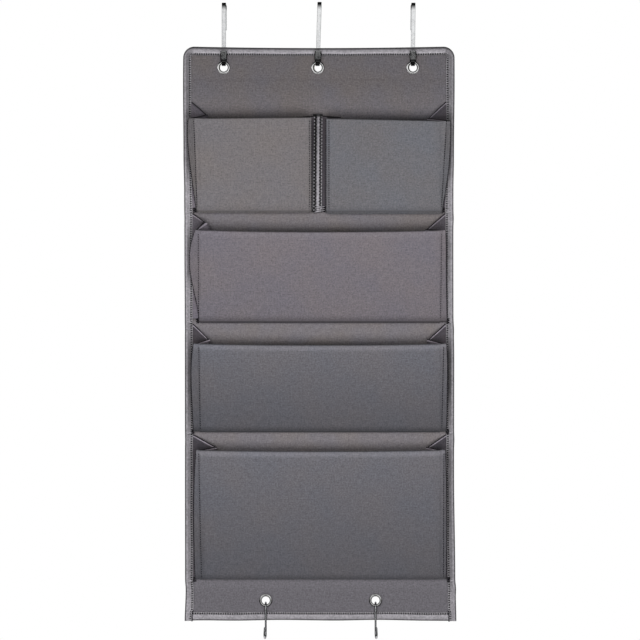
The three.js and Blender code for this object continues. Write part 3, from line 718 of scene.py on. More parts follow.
def divider_strip():
    """The strip as a grid: its crown is a half cosine across, its foot spreads a little, and its top end
    is rolled forwards through three quarters of a turn."""
    z = np.linspace(0, DIVIDER_HEIGHT, 90)
    turn = np.linspace(0, 1.6 * np.pi, 14)[1:]
    across = np.linspace(-1, 1, 33)
    up = np.concatenate([z, DIVIDER_HEIGHT + DIVIDER_ROLL * np.sin(turn)])[:, None]
    proud = np.concatenate([z * 0, DIVIDER_ROLL * (1 - np.cos(turn))])[:, None]
    spread = 1 + DIVIDER_FOOT_SPREAD / DIVIDER_HALF * bell(up, 0.006) + 0.03 * np.sin(up / 0.021)
    crown = DIVIDER_CROWN * np.cos(across * np.pi / 2) * (1 + 0.08 * np.sin(up / 0.0016 + 3 * across))
    flat = np.clip(1 - np.abs(up - DIVIDER_HEIGHT) / 0.003, 0, 1)
    front = divider_low.y - proud - crown * (1 - flat * 0.5)
    x = across * DIVIDER_HALF * spread + divider_middle(up)
    points = np.stack(np.broadcast_arrays(x, front, divider_low.z + up), -1)
    length = np.concatenate([z, DIVIDER_HEIGHT + DIVIDER_ROLL * turn])[:, None]
    weave = np.stack(np.broadcast_arrays(length, across * DIVIDER_HALF), -1)
    # Painted light across the strip, paler towards its foot, a faint mottle, and painted shade over the
    # rolled top end
    tone = np.interp(across, *DIVIDER_TONES)
    tone = tone * (1 + 0.07 * np.sin(up / 0.0021 + 2 * across)) * (1.25 - DIVIDER_PALES * up / DIVIDER_HEIGHT)
    rolled = np.concatenate([z * 0, np.ones(len(turn))])[:, None]
    return points, weave, tone * (1 - 0.85 * rolled)


def divider_row(name, shares, material):
    """Rows of stitches up the divider, each at its share of the half width, a half stitch out of step."""
    up = np.arange(0.003, divider_high.z - 0.003 - divider_low.z, DIVIDER_STITCH_PITCH)
    y = divider_low.y - DIVIDER_STITCH_RISE
    middles = [np.stack([divider_middle(up) + share * DIVIDER_HALF, 0 * up + y,
                         divider_low.z + up + k * DIVIDER_STITCH_PITCH / 2], 1)
               for k, share in enumerate(shares)]
    return stitches(name, np.concatenate(middles), UP, FORWARD, material, length=0.0021, radius=0.00055)


def bar_tacked(name, centre_x, low_z, front_y, half, count, rise, material, radius=0.0004):
    """A bar tack: thread run to and fro across a seam end, each pass a little above the last."""
    at = low_z + (np.arange(count) + 0.5) / count * rise
    middles = np.stack([centre_x + 0 * at, front_y + 0 * at, at], 1)
    sideways = unit(np.stack([0 * at + 1, 0 * at, 0.18 * (-1.0) ** np.arange(count)], 1))
    return stitches(name, middles, sideways, FORWARD, material, length=2 * half, radius=radius)


points, weave, tone = divider_strip()
divider = cloth_piece("divider_strip", points, grid_cells(*tone.shape), TAPE_THICKNESS * 0.8, weave, tone)
dress(divider, tape_material("divider tape", DIVIDER_HALF - DIVIDER_STITCH_INSET), "panel", "binding_tape",
      "divider_tape")
tack_y = divider_low.y - DIVIDER_CROWN - 0.0002
sewn_down = [
    divider_row("divider_stitches", (-0.68, 0.86), pale_thread),
    divider_row("divider_seams", (-0.24, 0.40), dark_thread),
    bar_tacked("divider_bar_tack", 0.0, divider_low.z + 0.0004, tack_y, 1.15 * DIVIDER_HALF, 6,
               BAR_TACK_HEIGHT, pale_thread, 0.0005),
    bar_tacked("divider_dark_tack", 0.0006, divider_low.z - 0.0002, tack_y + 0.0001, 1.25 * DIVIDER_HALF, 6,
               BAR_TACK_HEIGHT, dark_thread, 0.0005),
]

# The pocket fronts: each is one piece of canvas folded over the top of its own board and sewn to itself
# beside the board, which leaves thin flanges. Its foot is a roll that hinges along the row's seam.
HEM_RADIUS = 0.0022
HEM_START = 0.58 * np.pi
HEM_FORWARD = 0.5
SLEEVE_BACK = -0.0006
SLEEVE_FRONT = 0.0022
SLEEVE_MARGIN = CLOTH + 0.0003
SLEEVE_STEPS = np.array([1.0, 0.96, 0.91, 0.85, 0.75, 0.6, 0.45, 0.3, 0.16, 0.07])
FRONT_BELLY = 0.0004
FLANGE_FRONT = 0.0004
FLANGE_HEM_RADIUS = 0.0011
FLANGE_RIPPLE = 0.0005
FRONT_INSETS = {-1: 0.0225, 1: 0.0205}
MIDDLE_FLANGES = {("top_left", 1): 0.0093, ("top_right", -1): 0.0081}
MIDDLE_BOARD = 0.0145
MIDDLE_STITCH_OUT = 0.0022
PINCH = 0.0022
# The flange's outer edge is painted dark as its shadow against the tape
FLANGE_EDGE_SHADOW = 0.22
FLANGE_OUT = 0.0008
OVERLOCK_INSET = 0.0003
# Two kinds of stitches: the name, how high the thread stands, a stitch's length and its radius
LOCKSTITCH = ("stitches", 0.0003, STITCH_LENGTH, 2.6 * STITCH_RADIUS)
OVERLOCK = ("overlock", 0.0006, 0.0019, 2.0 * STITCH_RADIUS)
BOARD_DEPTHS = np.array([0.2, 0.2, 0.4, 1.2, 1.4, 1.4, 1.2, 0.4]) / 1000


def by_front(*values):
    """A table of the five fronts."""
    return dict(zip(("top_left", "top_right", "upper", "lower", "bottom"), values))


# How far each front's top edge stands above the frame's, in millimetres, at its left, middle and right
TOP_EDGES = by_front((-1.4, -1.0, -0.2), (-1.7, -3.2, -5.0), (1.0, -1.7, 0.7), (0.4, -1.6, 0.4),
                     (2.2, 0.3, 2.2))
# Each outer flange's distance from the middle in millimetres, at these shares of its height
FLANGE_SHARES = (0.0, 0.2, 0.45, 0.7, 0.88, 1.0)
FLANGE_EDGES = by_front(
    ((154.0, 157.4, 161.2, 164.2, 165.0, 163.6), None),
    (None, (154.2, 158.0, 161.8, 163.9, 164.2, 164.2)),
    ((150.8, 154.1, 159.5, 163.1, 159.0, 155.2), (160.0, 159.6, 159.0, 158.8, 158.6, 157.8)),
    ((157.6, 158.8, 160.0, 160.2, 159.2, 157.3), (159.0, 159.8, 160.2, 160.2, 160.0, 158.8)),
    ((155.5, 156.6, 157.2, 156.6, 155.6, 154.0), (159.0, 159.2, 159.0, 158.8, 158.3, 157.5)))
# The stitch lines beside the boards, as millimetres from the middle at the foot and at the top
FLANGE_STITCHES = by_front(((153.5, 157.5), None), (None, (153.2, 159.8)), ((151.5, 151.6), (152.0, 153.5)),
                           ((149.2, 151.0), (153.8, 156.0)), ((147.8, 151.0), (156.0, 156.2)))
# How dark the painted shade in each front's stitch-line grooves is, and how much darker it is over its
# flanges, on the left and the right
STITCH_SHADES = by_front((0.16, 0.04), (0.04, 0.16), (0.12, 0.06), (0.20, 0.06), (0.20, 0.08))
FLANGE_SHADES = by_front((0.28, 0.10), (0.10, 0.20), (0.10, 0.05), (0.12, 0.05), (0.10, 0.08))
# Each front's warm and cool grey: one cloth, whose greys differ from front to front as painted light, the
# lower fronts darkest. Its cloth is painted paler towards its top by the first share, with a painted
# highlight along the top fold by the second
FRONT_COLOURS = by_front(
    ((115, 110, 110), (112, 109, 112)), ((106, 104, 107), (104, 105, 111)),
    ((112, 106, 110), (108, 104, 111)), ((92, 90, 94), (89, 89, 95)), ((91, 89, 93), (88, 88, 94)))
FRONT_PAINTED_LIGHT = by_front((0.0, 0.0), (0.0, 0.0), (0.12, 0.10), (0.46, 0.42), (0.46, 0.46))
# How far each front's hem hangs below its seam, how pale its painted shade leaves it, and how dark the
# painted shade at the front's foot is
HEM_DROPS = by_front(0.0022, 0.0034, 0.0012, -0.0006, -0.0017)
HEM_TONES = by_front(0.6, 0.6, 0.30, 0.30, 0.34)
FOOT_SHADES = by_front(0.12, 0.12, 0.34, 0.34, 0.30)
joints = {joint["name"]: joint for joint in frame["joints"]}


def lean_of(name):
    """The hinge line of a front, the angle at which it leans out at rest and its length up the slope,
    worked out from the frame's box of its cover."""
    low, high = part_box(name + "_pocket_cover")
    hinge = joints[name + "_pocket_open"]["pos_m"]
    rise, run = high.z - hinge[2], hinge[1] - SLEEVE_FRONT - low.y
    angle = np.arctan2(run, rise)
    for _ in range(20):
        angle = np.arctan2(run + SLEEVE_FRONT * (1 - np.cos(angle)), rise + SLEEVE_BACK * np.sin(angle))
    return hinge, angle, rise / np.cos(angle)


def on_slope(name, x, deep, up):
    """Points of a leaning front: at X, so deep in front of its hinge line's slope and so far up it."""
    hinge, angle, _ = lean_of(name)
    y = hinge[1] - deep * np.cos(angle) - up * np.sin(angle)
    z = hinge[2] - deep * np.sin(angle) + up * np.cos(angle)
    return np.stack(np.broadcast_arrays(x, y, z), -1)


def edge_at(name, side, share):
    """Where a front's side edge runs, as X by share of its height: upright beside the divider, and else a
    quartic fitted to its table."""
    if (name, side) in MIDDLE_FLANGES:
        return -side * MIDDLE_FLANGES[name, side] + 0 * share
    widths = np.array(FLANGE_EDGES[name][side > 0]) / 1000
    return side * (FLANGE_OUT + np.polyval(np.polyfit(FLANGE_SHARES, widths, 4), share))


def board_end(name, side):
    """Where a front's board ends, as X."""
    if (name, side) in MIDDLE_FLANGES:
        return -side * MIDDLE_BOARD
    return side * (HALF_WIDTH - FRONT_INSETS[side])


def stitch_line(name, side, share):
    """Where the stitches beside a front's board run, as X by share of its height."""
    if (name, side) in MIDDLE_FLANGES:
        return board_end(name, side) + side * MIDDLE_STITCH_OUT + 0 * share
    foot, top = FLANGE_STITCHES[name][side > 0]
    return side * (foot + (top - foot) * share) / 1000


def raised(name, x):
    """How far the top edge of a front stands above the frame's at X: a line from end to end and a bow
    that is flat in the middle, with the 2.4th power of the distance from it."""
    left, middle, right = TOP_EDGES[name]
    low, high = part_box(name + "_pocket_cover")
    share = (x - (low.x + high.x) / 2) / ((high.x - low.x) / 2)
    bow = ((left + right) / 2 - middle) * np.abs(share) ** 2.4
    return (middle + (right - left) / 2 * share + bow) / 1000


def layers(name, x, share):
    """At X and a share of a front's height: how far its layers are closed on each other, from 0 over the
    board to 1 in the flange, by e to the minus 1.6th power of the distance over the pinch; how deep the
    outer one lies; how much the front bellies, by half a sine of its height; and the flange's ripple."""
    beyond = np.maximum(board_end(name, -1) - SLEEVE_MARGIN - x, x - board_end(name, 1) - SLEEVE_MARGIN)
    closed = 1 - np.exp(-((np.maximum(beyond, 0) / PINCH) ** 1.6))
    phase = share * lean_of(name)[2] / 0.0135 + 0.4 * np.sign(x) + 5 * share
    return (closed, SLEEVE_FRONT + (FLANGE_FRONT - SLEEVE_FRONT) * closed,
            FRONT_BELLY * np.sin(np.pi * share) * (1 - closed), FLANGE_RIPPLE * closed * np.sin(phase))


def front_sleeve(name):
    """The sleeve of a front, as a closed loop of cloth carried from side to side. Up its front it keeps
    clear of the board, turns over the top in a half circle, comes down its back and ends in the roll
    of the hem, an arc round the hinge line. Beyond the board the layers close on each other."""
    length = lean_of(name)[2]
    climb = np.concatenate([np.linspace(0, 0.01, 6)[:-1], np.linspace(0.01, length - 0.012, 26)[:-1],
                            np.linspace(length - 0.012, length, 10)])
    fold = np.linspace(0, np.pi, 11)[1:-1]
    roll = np.linspace(HEM_START, 2 * np.pi, 14)[:-1]
    kind = np.concatenate([climb * 0, fold * 0 + 1, climb * 0 + 2, roll * 0 + 3])[:, None]
    v = np.concatenate([climb, fold, climb[::-1], roll])[:, None]
    share = np.where(kind == 1, 1.0, np.where(kind == 3, 0.0, v / length))
    left, right = board_end(name, -1) - SLEEVE_MARGIN, board_end(name, 1) + SLEEVE_MARGIN
    inner = np.linspace(left, right, round((right - left) / 0.006))
    x = np.concatenate([left + (edge_at(name, -1, share) - left) * SLEEVE_STEPS, inner + 0 * share,
                        right + (edge_at(name, 1, share) - right) * SLEEVE_STEPS[::-1]], 1)
    closed, front, belly, ripple = layers(name, x, share)
    radius = (front - SLEEVE_BACK) / 2
    hem = HEM_RADIUS + (FLANGE_HEM_RADIUS - HEM_RADIUS) * closed
    tall = length + raised(name, x)
    reach = share * (tall - radius)
    drop = HEM_DROPS[name] * (1 if HEM_DROPS[name] > 0 else hem / HEM_RADIUS)
    forward = HEM_FORWARD * np.maximum(drop, 0) * np.maximum(-np.sin(v), 0)
    deep = np.select([kind == k for k in range(4)],
                     [front + (hem - front) * bell(v, 0.004) + belly + ripple,
                      (front + SLEEVE_BACK) / 2 + radius * np.cos(v) + ripple, SLEEVE_BACK + ripple,
                      hem * np.cos(v) + forward])
    high = np.select([kind == k for k in range(4)],
                     [reach, tall - radius + radius * np.sin(v),
                      np.maximum(reach, hem * np.sin(HEM_START) + 0.0001),
                      (hem + drop * (np.sin(v) < 0)) * np.sin(v)])
    points = on_slope(name, x, deep, high)
    run = run_along(points[:, x.shape[1] // 2, 1:])
    weave = np.stack(np.broadcast_arrays(x, run[:, None]), -1)
    # Painted light: paler towards the top, a painted highlight under the top fold, painted shade at the foot
    # and over the fold as it turns away, a darker back layer and the hem roll's painted tone
    growing, lip = FRONT_PAINTED_LIGHT[name]
    tone = 1 + growing * (share - 0.48) + lip * bell(length - v - 0.0028, 0.0030)
    tone = np.where(kind == 0, tone - FOOT_SHADES[name] * bell(v, 0.0045), 0.7) + 0 * x
    tone = np.where(kind == 1, 1 + growing / 2 - 0.6 * np.clip(v, 0, 1), tone)
    tone = np.where(kind == 3, HEM_TONES[name], tone)
    # Painted shade in the groove of each stitch line, a darker flange, and a painted shadow along the
    # flange's edge
    for side, dark, pale in zip((-1, 1), STITCH_SHADES[name], FLANGE_SHADES[name]):
        from_line = (x - stitch_line(name, side, share)) * side
        tone = tone * (1 - dark * bell(from_line, 0.0011)) * (1 - pale * ramp(from_line, -0.0006, 0.0012))
        from_edge = (edge_at(name, side, share) - x) * side
        tone = dimmed(tone, FLANGE_EDGE_SHADOW, np.clip(1.4 - from_edge / 0.0008, 0, 1))
    return points, weave, tone


def front_row_stitches(name, overlock):
    """Stitches up both sides of a front: those beside its board, on the front of the flange and again on
    its back, or those of the overlocked edge, on the front."""
    _, angle, length = lean_of(name)
    up = np.arange(0.004, length - 0.003, STITCH_PITCH)
    share = up / length
    kind, rise, length, radius = OVERLOCK if overlock else LOCKSTITCH
    rows = []
    for side in (-1, 1):
        x = edge_at(name, side, share) - side * OVERLOCK_INSET if overlock else stitch_line(name, side, share)
        _, front, belly, ripple = layers(name, x, share)
        faces = [(front + belly + ripple + rise, 1), (SLEEVE_BACK + ripple - rise, -1)]
        for deep, facing in faces[:1] if overlock else faces:
            middles = on_slope(name, x, deep, up)
            rows.append((middles, 0 * middles + [0, -facing * np.cos(angle), -facing * np.sin(angle)]))
    middles, out = (np.concatenate(parts) for parts in zip(*rows))
    return stitches(f"{name}_front_{kind}", middles, (0, -np.sin(angle), np.cos(angle)), out, dark_thread,
                    "pocket_cloth", name + "_pocket_front", length, radius)


def front_board(name):
    """A front's board: a thin slab whose top follows the bow of its cover, with eased edges."""
    x = np.linspace(board_end(name, -1), board_end(name, 1), 25)
    top = np.array([0, 1, 1, 1, 1, 0, 0, 0])[:, None]
    trim = np.array([1, 1, 0, 0, 1, 1, 0, 0])[:, None] * 0.0002
    head = lean_of(name)[2] - CLOTH - 0.0004 + raised(name, x)
    up = np.where(top == 1, head - trim, HEM_RADIUS + 0.0003 + trim)
    points = on_slope(name, x, BOARD_DEPTHS[:, None], up)
    ring = np.arange(8) * len(x)
    ends = np.stack([ring[::-1], ring + len(x) - 1])
    return new_piece(name + "_front_board", points, [grid_cells(*up.shape, round_rows=True)[:, ::-1], ends])


for name in TOP_EDGES:
    body = name + "_pocket_front"
    points, weave, tone = front_sleeve(name)
    cells = grid_cells(*tone.shape, round_rows=True)
    sleeve = cloth_piece(name + "_front", points, cells, CLOTH, weave, tone)
    cloth = canvas(name.replace("_", " ") + " front canvas", *(srgb(*grey) for grey in FRONT_COLOURS[name]))
    dress(sleeve, cloth, body, "pocket_cloth", name + "_pocket_cover")
    sewn = [front_row_stitches(name, overlock) for overlock in (False, True)]
    dress(front_board(name), stiffener_sheet, body, "stiffener_board", name + "_pocket_board")
    low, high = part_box(name + "_pocket_cover")

# The gussets: a folded strip of the same canvas down each side of a pocket. Its back edge is sewn to the
# panel, its front edge behind the front's flange, and its fold points into the pocket.
GUSSET_HEM = 0.0010
GUSSET_HEM_ROWS = np.array([4.2, 3.0, 2.6, 2.1, 1.5, 1.3, 0.0]) / 1000
GUSSET_SEAM = 0.0009
GUSSET_GAP = 0.0003
GUSSET_EDGE_INSET = 0.001
GUSSET_BELLY = 0.0011
GUSSET_FOLD_RADIUS = 0.0009
GUSSET_HEM_WIDTH = 0.0028
GUSSET_LIP_WIDTH = 0.0014
# The top lip of each gusset is painted dark as the shadow line above its hem, and the middle gussets are all
# in painted shade
GUSSET_LIP_SHADOW = 0.10
MIDDLE_GUSSET_START = 0.0006
MIDDLE_GUSSET_SHADE = 0.4
# For each gusset: how deep its fold is, how much of that is left at its top, how far down from the back
# corner to the front one the fold's top lies, how pale the painted shade leaves its inner half and how bright
# the painted light on its top hem is
PLEATS = {
    ("top_left", -1): (0.0218, 0.88, 0.78, 1.60, 0.5),
    ("top_left", 1): (0.0210, 0.95, 0.75, 1.0, 0.5),
    ("top_right", -1): (0.0210, 0.95, 0.75, 1.0, 0.5),
    ("top_right", 1): (0.0253, 0.95, 0.86, 0.95, 1.2),
    ("upper", -1): (0.0250, 0.45, 0.52, 1.55, 1.6),
    ("upper", 1): (0.0236, 0.98, 0.93, 1.3, 1.5),
    ("lower", -1): (0.0218, 0.84, 0.76, 0.94, 1.8),
    ("lower", 1): (0.0235, 0.90, 0.78, 1.0, 1.8),
    ("bottom", -1): (0.0270, 0.97, 0.78, 0.88, 1.8),
    ("bottom", 1): (0.0239, 0.92, 0.80, 0.88, 1.8),
}
PLEAT_NARROWING = 18
SIDE_NAMES = {-1: "left", 1: "right"}


def gusset_strip(name, side):
    """A gusset, as rows up its height and columns from its back edge to its front one. It lies flat along
    its seam, runs in to the fold, turns round it and comes out to the front's edge. Its top edge is a
    line from the panel down to the fold and on to the front. Both halves belly a little."""
    hinge, _, length = lean_of(name)
    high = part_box(f"{name}_{SIDE_NAMES[side]}_gusset")[1]
    middle = (name, side) in MIDDLE_FLANGES
    back_x = -side * MIDDLE_GUSSET_START if middle else side * (HALF_WIDTH - TAPE_WIDTH - GUSSET_GAP)
    deep, top_share, drop, inner_shade, hem_painted_light = PLEATS[name, side]
    share = np.concatenate([np.linspace(0, 0.8, 17)[:-1], np.linspace(0.8, 0.965, 11),
                            1 - GUSSET_HEM_ROWS / length])[:, None]
    foot = HEM_RADIUS + GUSSET_GAP
    along = foot + share * (length - foot - GUSSET_GAP)
    front_y, front_z = np.moveaxis(on_slope(name, 0, SLEEVE_BACK - GUSSET_GAP - CLOTH / 2, along), -1, 0)[1:]
    if not middle:
        front_z = front_z + raised(name, edge_at(name, side, 1.0)) * share**4 * 0.8
    back_y = FACE_FRONT - GUSSET_GAP - CLOTH / 2
    back_z = hinge[2] + foot + share * (high.z - CLOTH / 2 - hinge[2] - foot)
    fold_z = back_z + drop * (front_z - back_z)
    front_in = (back_x - edge_at(name, side, along / length)) * side + GUSSET_EDGE_INSET
    fold_in = (GUSSET_SEAM + front_in) / 2 + deep * (1 - (1 - top_share) * share**PLEAT_NARROWING)
    fold_y = (back_y + front_y) / 2
    radius = GUSSET_FOLD_RADIUS * np.minimum(1, 0.25 + share * 3)
    flat, go = np.array([0, 0.5, 1.0]), np.linspace(0, 1, 9)[1:-1]
    turn = np.linspace(-np.pi / 2, np.pi / 2, 7)
    belly = GUSSET_BELLY * np.sin(np.pi * go) * np.minimum(1, share * 3)
    columns = (
        (GUSSET_SEAM * flat, GUSSET_SEAM + (fold_in - GUSSET_SEAM) * go, fold_in + radius * np.cos(turn),
         fold_in + (front_in - fold_in) * go, front_in),
        (back_y + 0 * flat, back_y + (fold_y + radius - back_y) * go**1.3 - belly,
         fold_y - radius * np.sin(turn),
         fold_y - radius + (front_y - fold_y + radius) * (1 - (1 - go) ** 1.3) + belly, front_y),
        (back_z + 0 * flat, back_z + (fold_z - back_z) * go, fold_z + 0 * turn,
         fold_z + (front_z - fold_z) * go, front_z),
        (0 * flat, 0.5 * go, 0 * turn + 0.5, 0.5 + 0.5 * go, np.ones(1)))
    into, y, z, weight = (np.concatenate([part + 0 * share for part in parts], 1) for parts in columns)
    x = back_x - into * side
    out, forward, up = hang(x, z) * np.clip(1 - 2 * weight, 0, 1)
    points = np.stack([x + out, y + forward, z + up], -1)
    steps = np.linalg.norm(np.diff(points, axis=1), axis=2)
    across = np.concatenate([0 * share, np.cumsum(steps, axis=1)], 1)
    from_top = (1 - share) * length
    hem = from_top < GUSSET_HEM_WIDTH
    # Painted light: the inner half in painted shade, darker towards the top, painted shade along the fold,
    # painted light on the hem and a painted shadow along the top lip; the middle gussets all in painted shade
    tone = np.where(weight < 0.47, (0.42 + 0.25 * (1 - share)) * inner_shade, 0.9)
    tone = tone - 0.45 * bell(weight - 0.5, 0.05)
    tone = np.where(hem, hem_painted_light, MIDDLE_GUSSET_SHADE if middle else tone)
    tone = np.where(from_top < GUSSET_LIP_WIDTH, GUSSET_LIP_SHADOW, tone) + 0 * x
    thickness = CLOTH + (GUSSET_HEM - CLOTH) * hem + 0 * x
    return points, np.stack([across, back_z + 0 * across], -1), weight, thickness, tone


# The gussets' canvas is the panel's cloth in darker greys, as painted shade for the pleats
gusset_canvas = canvas("gusset canvas", srgb(112, 105, 111), srgb(108, 104, 113))
for name, side in PLEATS:
    points, weave, weight, thickness, tone = gusset_strip(name, side)
    strip = cloth_piece(f"{name}_{SIDE_NAMES[side]}_pleat", points, grid_cells(*tone.shape)[:, ::-side],
                        thickness, weave, tone)
    dress(strip, gusset_canvas, None, "gusset_cloth", f"{name}_{SIDE_NAMES[side]}_gusset")
    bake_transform(strip)

# The bar tacks: each row's seam ends in one at both sides, through the gusset's foot and into the binding,
# with the last passes of the seam's thread carried across the tape.
TACK_OUT = 0.0016
TACK_HALF = 0.0024
TACK_RISE = 0.0062
SEAM_THREAD_HALF = 0.0042

corner_tacks = []
for row in ROWS:
    for side in (-1, 1):
        front = "top_right" if (row, side) == ("top_left", 1) else row
        z = SEAMS[row]
        tack_x = edge_at(front, side, 0.0) + side * TACK_OUT
        tape_x = side * (HALF_WIDTH - TAPE_WIDTH / 2 - 0.001)
        label = f"{row}_{SIDE_NAMES[side]}_corner"
        corner_tacks += [
            bar_tacked(label + "_tack", tack_x + hang(tack_x, z)[0], z - 0.0016, FACE_FRONT - 0.0022,
                       TACK_HALF, 5, TACK_RISE, dark_thread),
            bar_tacked(label + "_thread", tape_x + hang(tape_x, z)[0], z - 0.0012,
                       FACE_FRONT - TAPE_FRONT - 0.0002, SEAM_THREAD_HALF, 2, 0.0022, pale_thread)]

# The grommets: plated brass rings, set through every layer of the panel. The flange is domed in front, and
# the barrel is rolled over a flat washer behind.
GROMMET_HOLE = 0.005
GROMMET_OUTER = 0.00825
GROMMET_WALL = 0.0005
GROMMET_DOME = 0.0009
ROLLED_RIM = 0.0012
ROUND_STEPS = 72
WASHER_SOFT = 0.00012
# The inner lip is painted dark as a reflection, by the tone of its row
RING_LIP = 0.0062
RING_LIP_TONES = {"top": 0.05, "bottom": 0.30}
RING_BORDER = 0.0069
# Painted reflection and shadow: how bright each ring's flange and its outer border are in eight directions,
# from the right by the top
RING_TONES = {
    "top": ((1.0, 0.95, 0.8, 0.95, 1.0, 1.0, 0.8, 1.0), (0.25, 0.01, 0.01, 0.01, 0.9, 1.0, 0.6, 1.0)),
    "bottom": ((0.4, 0.75, 0.25, 0.6, 0.4, 0.75, 0.6, 0.65), (0.03, 0.55, 0.4, 0.55, 0.01, 0.01, 0.1, 0.01)),
    "washer": ((1.0,) * 8, (1.0,) * 8),
}


def turned_ring(name, centre, profile, tone, row):
    """A ring turned round the Y direction: a closed profile of radius and depth carried round a circle.
    Depth counts backwards from the centre. Tone is painted reflection and shade along the profile. The
    flange and the border follow the painted tones of their row round the circle."""
    angle = np.linspace(0, 2 * np.pi, ROUND_STEPS, endpoint=False)[:, None]
    radius, depth = profile.T
    eighths = np.arange(8) * np.pi / 4
    flange, border = (np.interp(angle, eighths, tones, period=2 * np.pi) for tones in RING_TONES[row])
    points = np.stack(np.broadcast_arrays(centre[0] + radius * np.cos(angle), centre[1] + depth,
                                          centre[2] + radius * np.sin(angle)), -1)
    cells = grid_cells(ROUND_STEPS, len(profile), round_rows=True, round_columns=True)
    shade = tone * np.where(radius > RING_BORDER, border, flange)
    ring = new_piece("ring_" + name, points, [cells], shade=shade.ravel(), sharp=0.7)
    return dress(ring, ring_plating, "panel", "grommet_metal", "grommet_" + name)


def arc(across, up, across_reach, up_reach, start, stop, count):
    """Part of an ellipse round a middle, as two coordinates, by its angle counted in turns of the circle."""
    angle = np.linspace(start, stop, count) * 2 * np.pi
    return np.stack([across + across_reach * np.cos(angle), up + up_reach * np.sin(angle)], 1)


def grommet_profile(front, back, lip_tone):
    """The section of a grommet: a domed flange, an inner lip, the barrel and the rolled rear rim."""
    middle = np.array([(GROMMET_OUTER + GROMMET_HOLE) / 2, front + GROMMET_DOME])
    reach = np.array([(GROMMET_OUTER - GROMMET_HOLE) / 2, GROMMET_DOME])
    swing = arc(0, 0, 1, 1, 0, -0.5, 25)
    outside = np.sign(swing) * np.abs(swing) ** [0.6, 0.25] * reach + middle
    rim_reach = (ROLLED_RIM + GROMMET_WALL) / 2
    rim = arc(GROMMET_HOLE + rim_reach, back - 0.0004, rim_reach, 0.0004, 0.5, 0.0, 9)
    bore = [[GROMMET_HOLE, middle[1] + 0.0002], [GROMMET_HOLE, back - 0.0006]]
    barrel = [[GROMMET_HOLE + GROMMET_WALL, back - 0.0004], [GROMMET_HOLE + GROMMET_WALL, middle[1]],
              [GROMMET_OUTER - GROMMET_WALL / 2, middle[1]]]
    # Painted dark reflection on the inner lip and the bore, and painted shade on the rolled rim and the
    # barrel
    tone = np.where(outside[:, 0] < RING_LIP, lip_tone, 1.0)
    tone = np.concatenate([tone, [0.1, 0.1], np.full(len(rim), 0.8), [0.5, 0.5, 0.5]])
    return np.concatenate([outside, bore, rim, barrel])[::-1], tone[::-1]


def chrome(name, grey, roughness):
    """Bright plating: a faint haze of polishing marks in its roughness, and slow tone changes, times the
    painted reflection and shade in each piece's shade attribute.
    """
    material, tree, shader = new_material(name)
    haze = noise(tree, wire(tree, "TexCoord", {}, "Object"), 260.0, 4.0)
    rough = wire(tree, "MapRange", {0: haze, 1: 0.3, 2: 0.7, 3: roughness * 0.7, 4: roughness * 1.4})
    tint = srgb(*grey)
    colour = mixed(tree, haze, tint, (*(channel * 0.9 for channel in tint[:3]), 1.0))
    coat(tree, shader, colour, shaded(tree, 1.0), haze, 0.08, 0.0001, rough, Metallic=1.0)
    return material


ring_plating = chrome("ring plating", (250, 250, 250), 0.08)
for name in GROMMETS:
    hole = HOLES[name]
    out, _, up = hang(hole.x, hole.z)
    centre = (hole.x + out, 0.0, hole.z + up)
    row = name.split("_")[0]
    low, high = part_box("grommet_" + name)
    turned_ring(name, centre, *grommet_profile(low.y, high.y, RING_LIP_TONES[row]), row)
    low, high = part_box("grommet_washer_" + name)
    inner, outer, soft = GROMMET_HOLE + GROMMET_WALL + 0.0003, (high.x - low.x) / 2, WASHER_SOFT
    section = np.array([[inner, high.y - soft], [inner, low.y + soft], [inner + soft, low.y],
                        [outer - soft, low.y], [outer, low.y + soft], [outer, high.y - soft],
                        [outer - soft, high.y], [inner + soft, high.y]])
    turned_ring("washer_" + name, centre, section, 1.0, "washer")

# The over-door hooks: plated flat steel strip, 5.2 by 1.2 mm, bent over the door's top, down its front and
# up again through a grommet. The strip's edges are rolled round and its tip is cut round.
STRIP_WIDTH = 0.0052
STRIP_THICKNESS = 0.0012
STRIP_BEND = 0.0025
DOOR_SLOT = 0.045
HOOK_THROAT = 0.012
HOOK_BACK_LEG = 0.030
HOOK_TIP_TOP = -0.059
HOOK_TIP_LEAN = 0.09
# How far each hook leans to one side, how bright its tone is and how high it stands
HOOKS = {"left": (0.0, 0.90, 0.0012), "middle": (0.030, 1.0, 0.0022), "right": (0.012, 1.0, 0.0012)}
# Painted light on the strip: the wider tip is painted as a dark reflection with painted shadow at its edges,
# the throat is in painted shadow, the bend over the door is a painted dark reflection and the front leg's
# sides are in painted shade
TIP_ROUND = 0.0012
TIP_WIDER = 0.60
TIP_LENGTH = 0.0125
TIP_DARK_REFLECTION = 0.70
THROAT_RUN = (0.0100, 0.0295)
THROAT_SHADOW = 0.05
TIP_EDGE_SHADOW = 0.06
STRIP_SIDE_SHADE = 0.55
BEND_DARK_REFLECTION = 0.04
STRIP_TOP_REACH = 0.0042


def swept(name, path, sections, shade):
    """A closed bar: at each point of the path lies a section, whose first coordinate runs beside the path,
    near to X, and whose second runs across it. Its two ends are closed by fans. Shade is the plating's
    brightness at each section's points."""
    tangent = unit(np.gradient(path, axis=0))
    across = unit(np.cross(tangent, [1.0, 0.0, 0.0]))[:, None]
    beside = np.cross(across, tangent[:, None])
    points = path[:, None, :] + sections[..., :1] * beside + sections[..., 1:] * across
    rows, columns = shade.shape
    cells = [grid_cells(rows, columns, round_columns=True), end_fans(rows, columns)]
    points = np.concatenate([points.reshape(-1, 3), path[[0, -1]]])
    shade = shade.ravel()
    return new_piece(name, points, cells, shade=np.append(shade, shade[[0, -1]]), sharp=0.8)


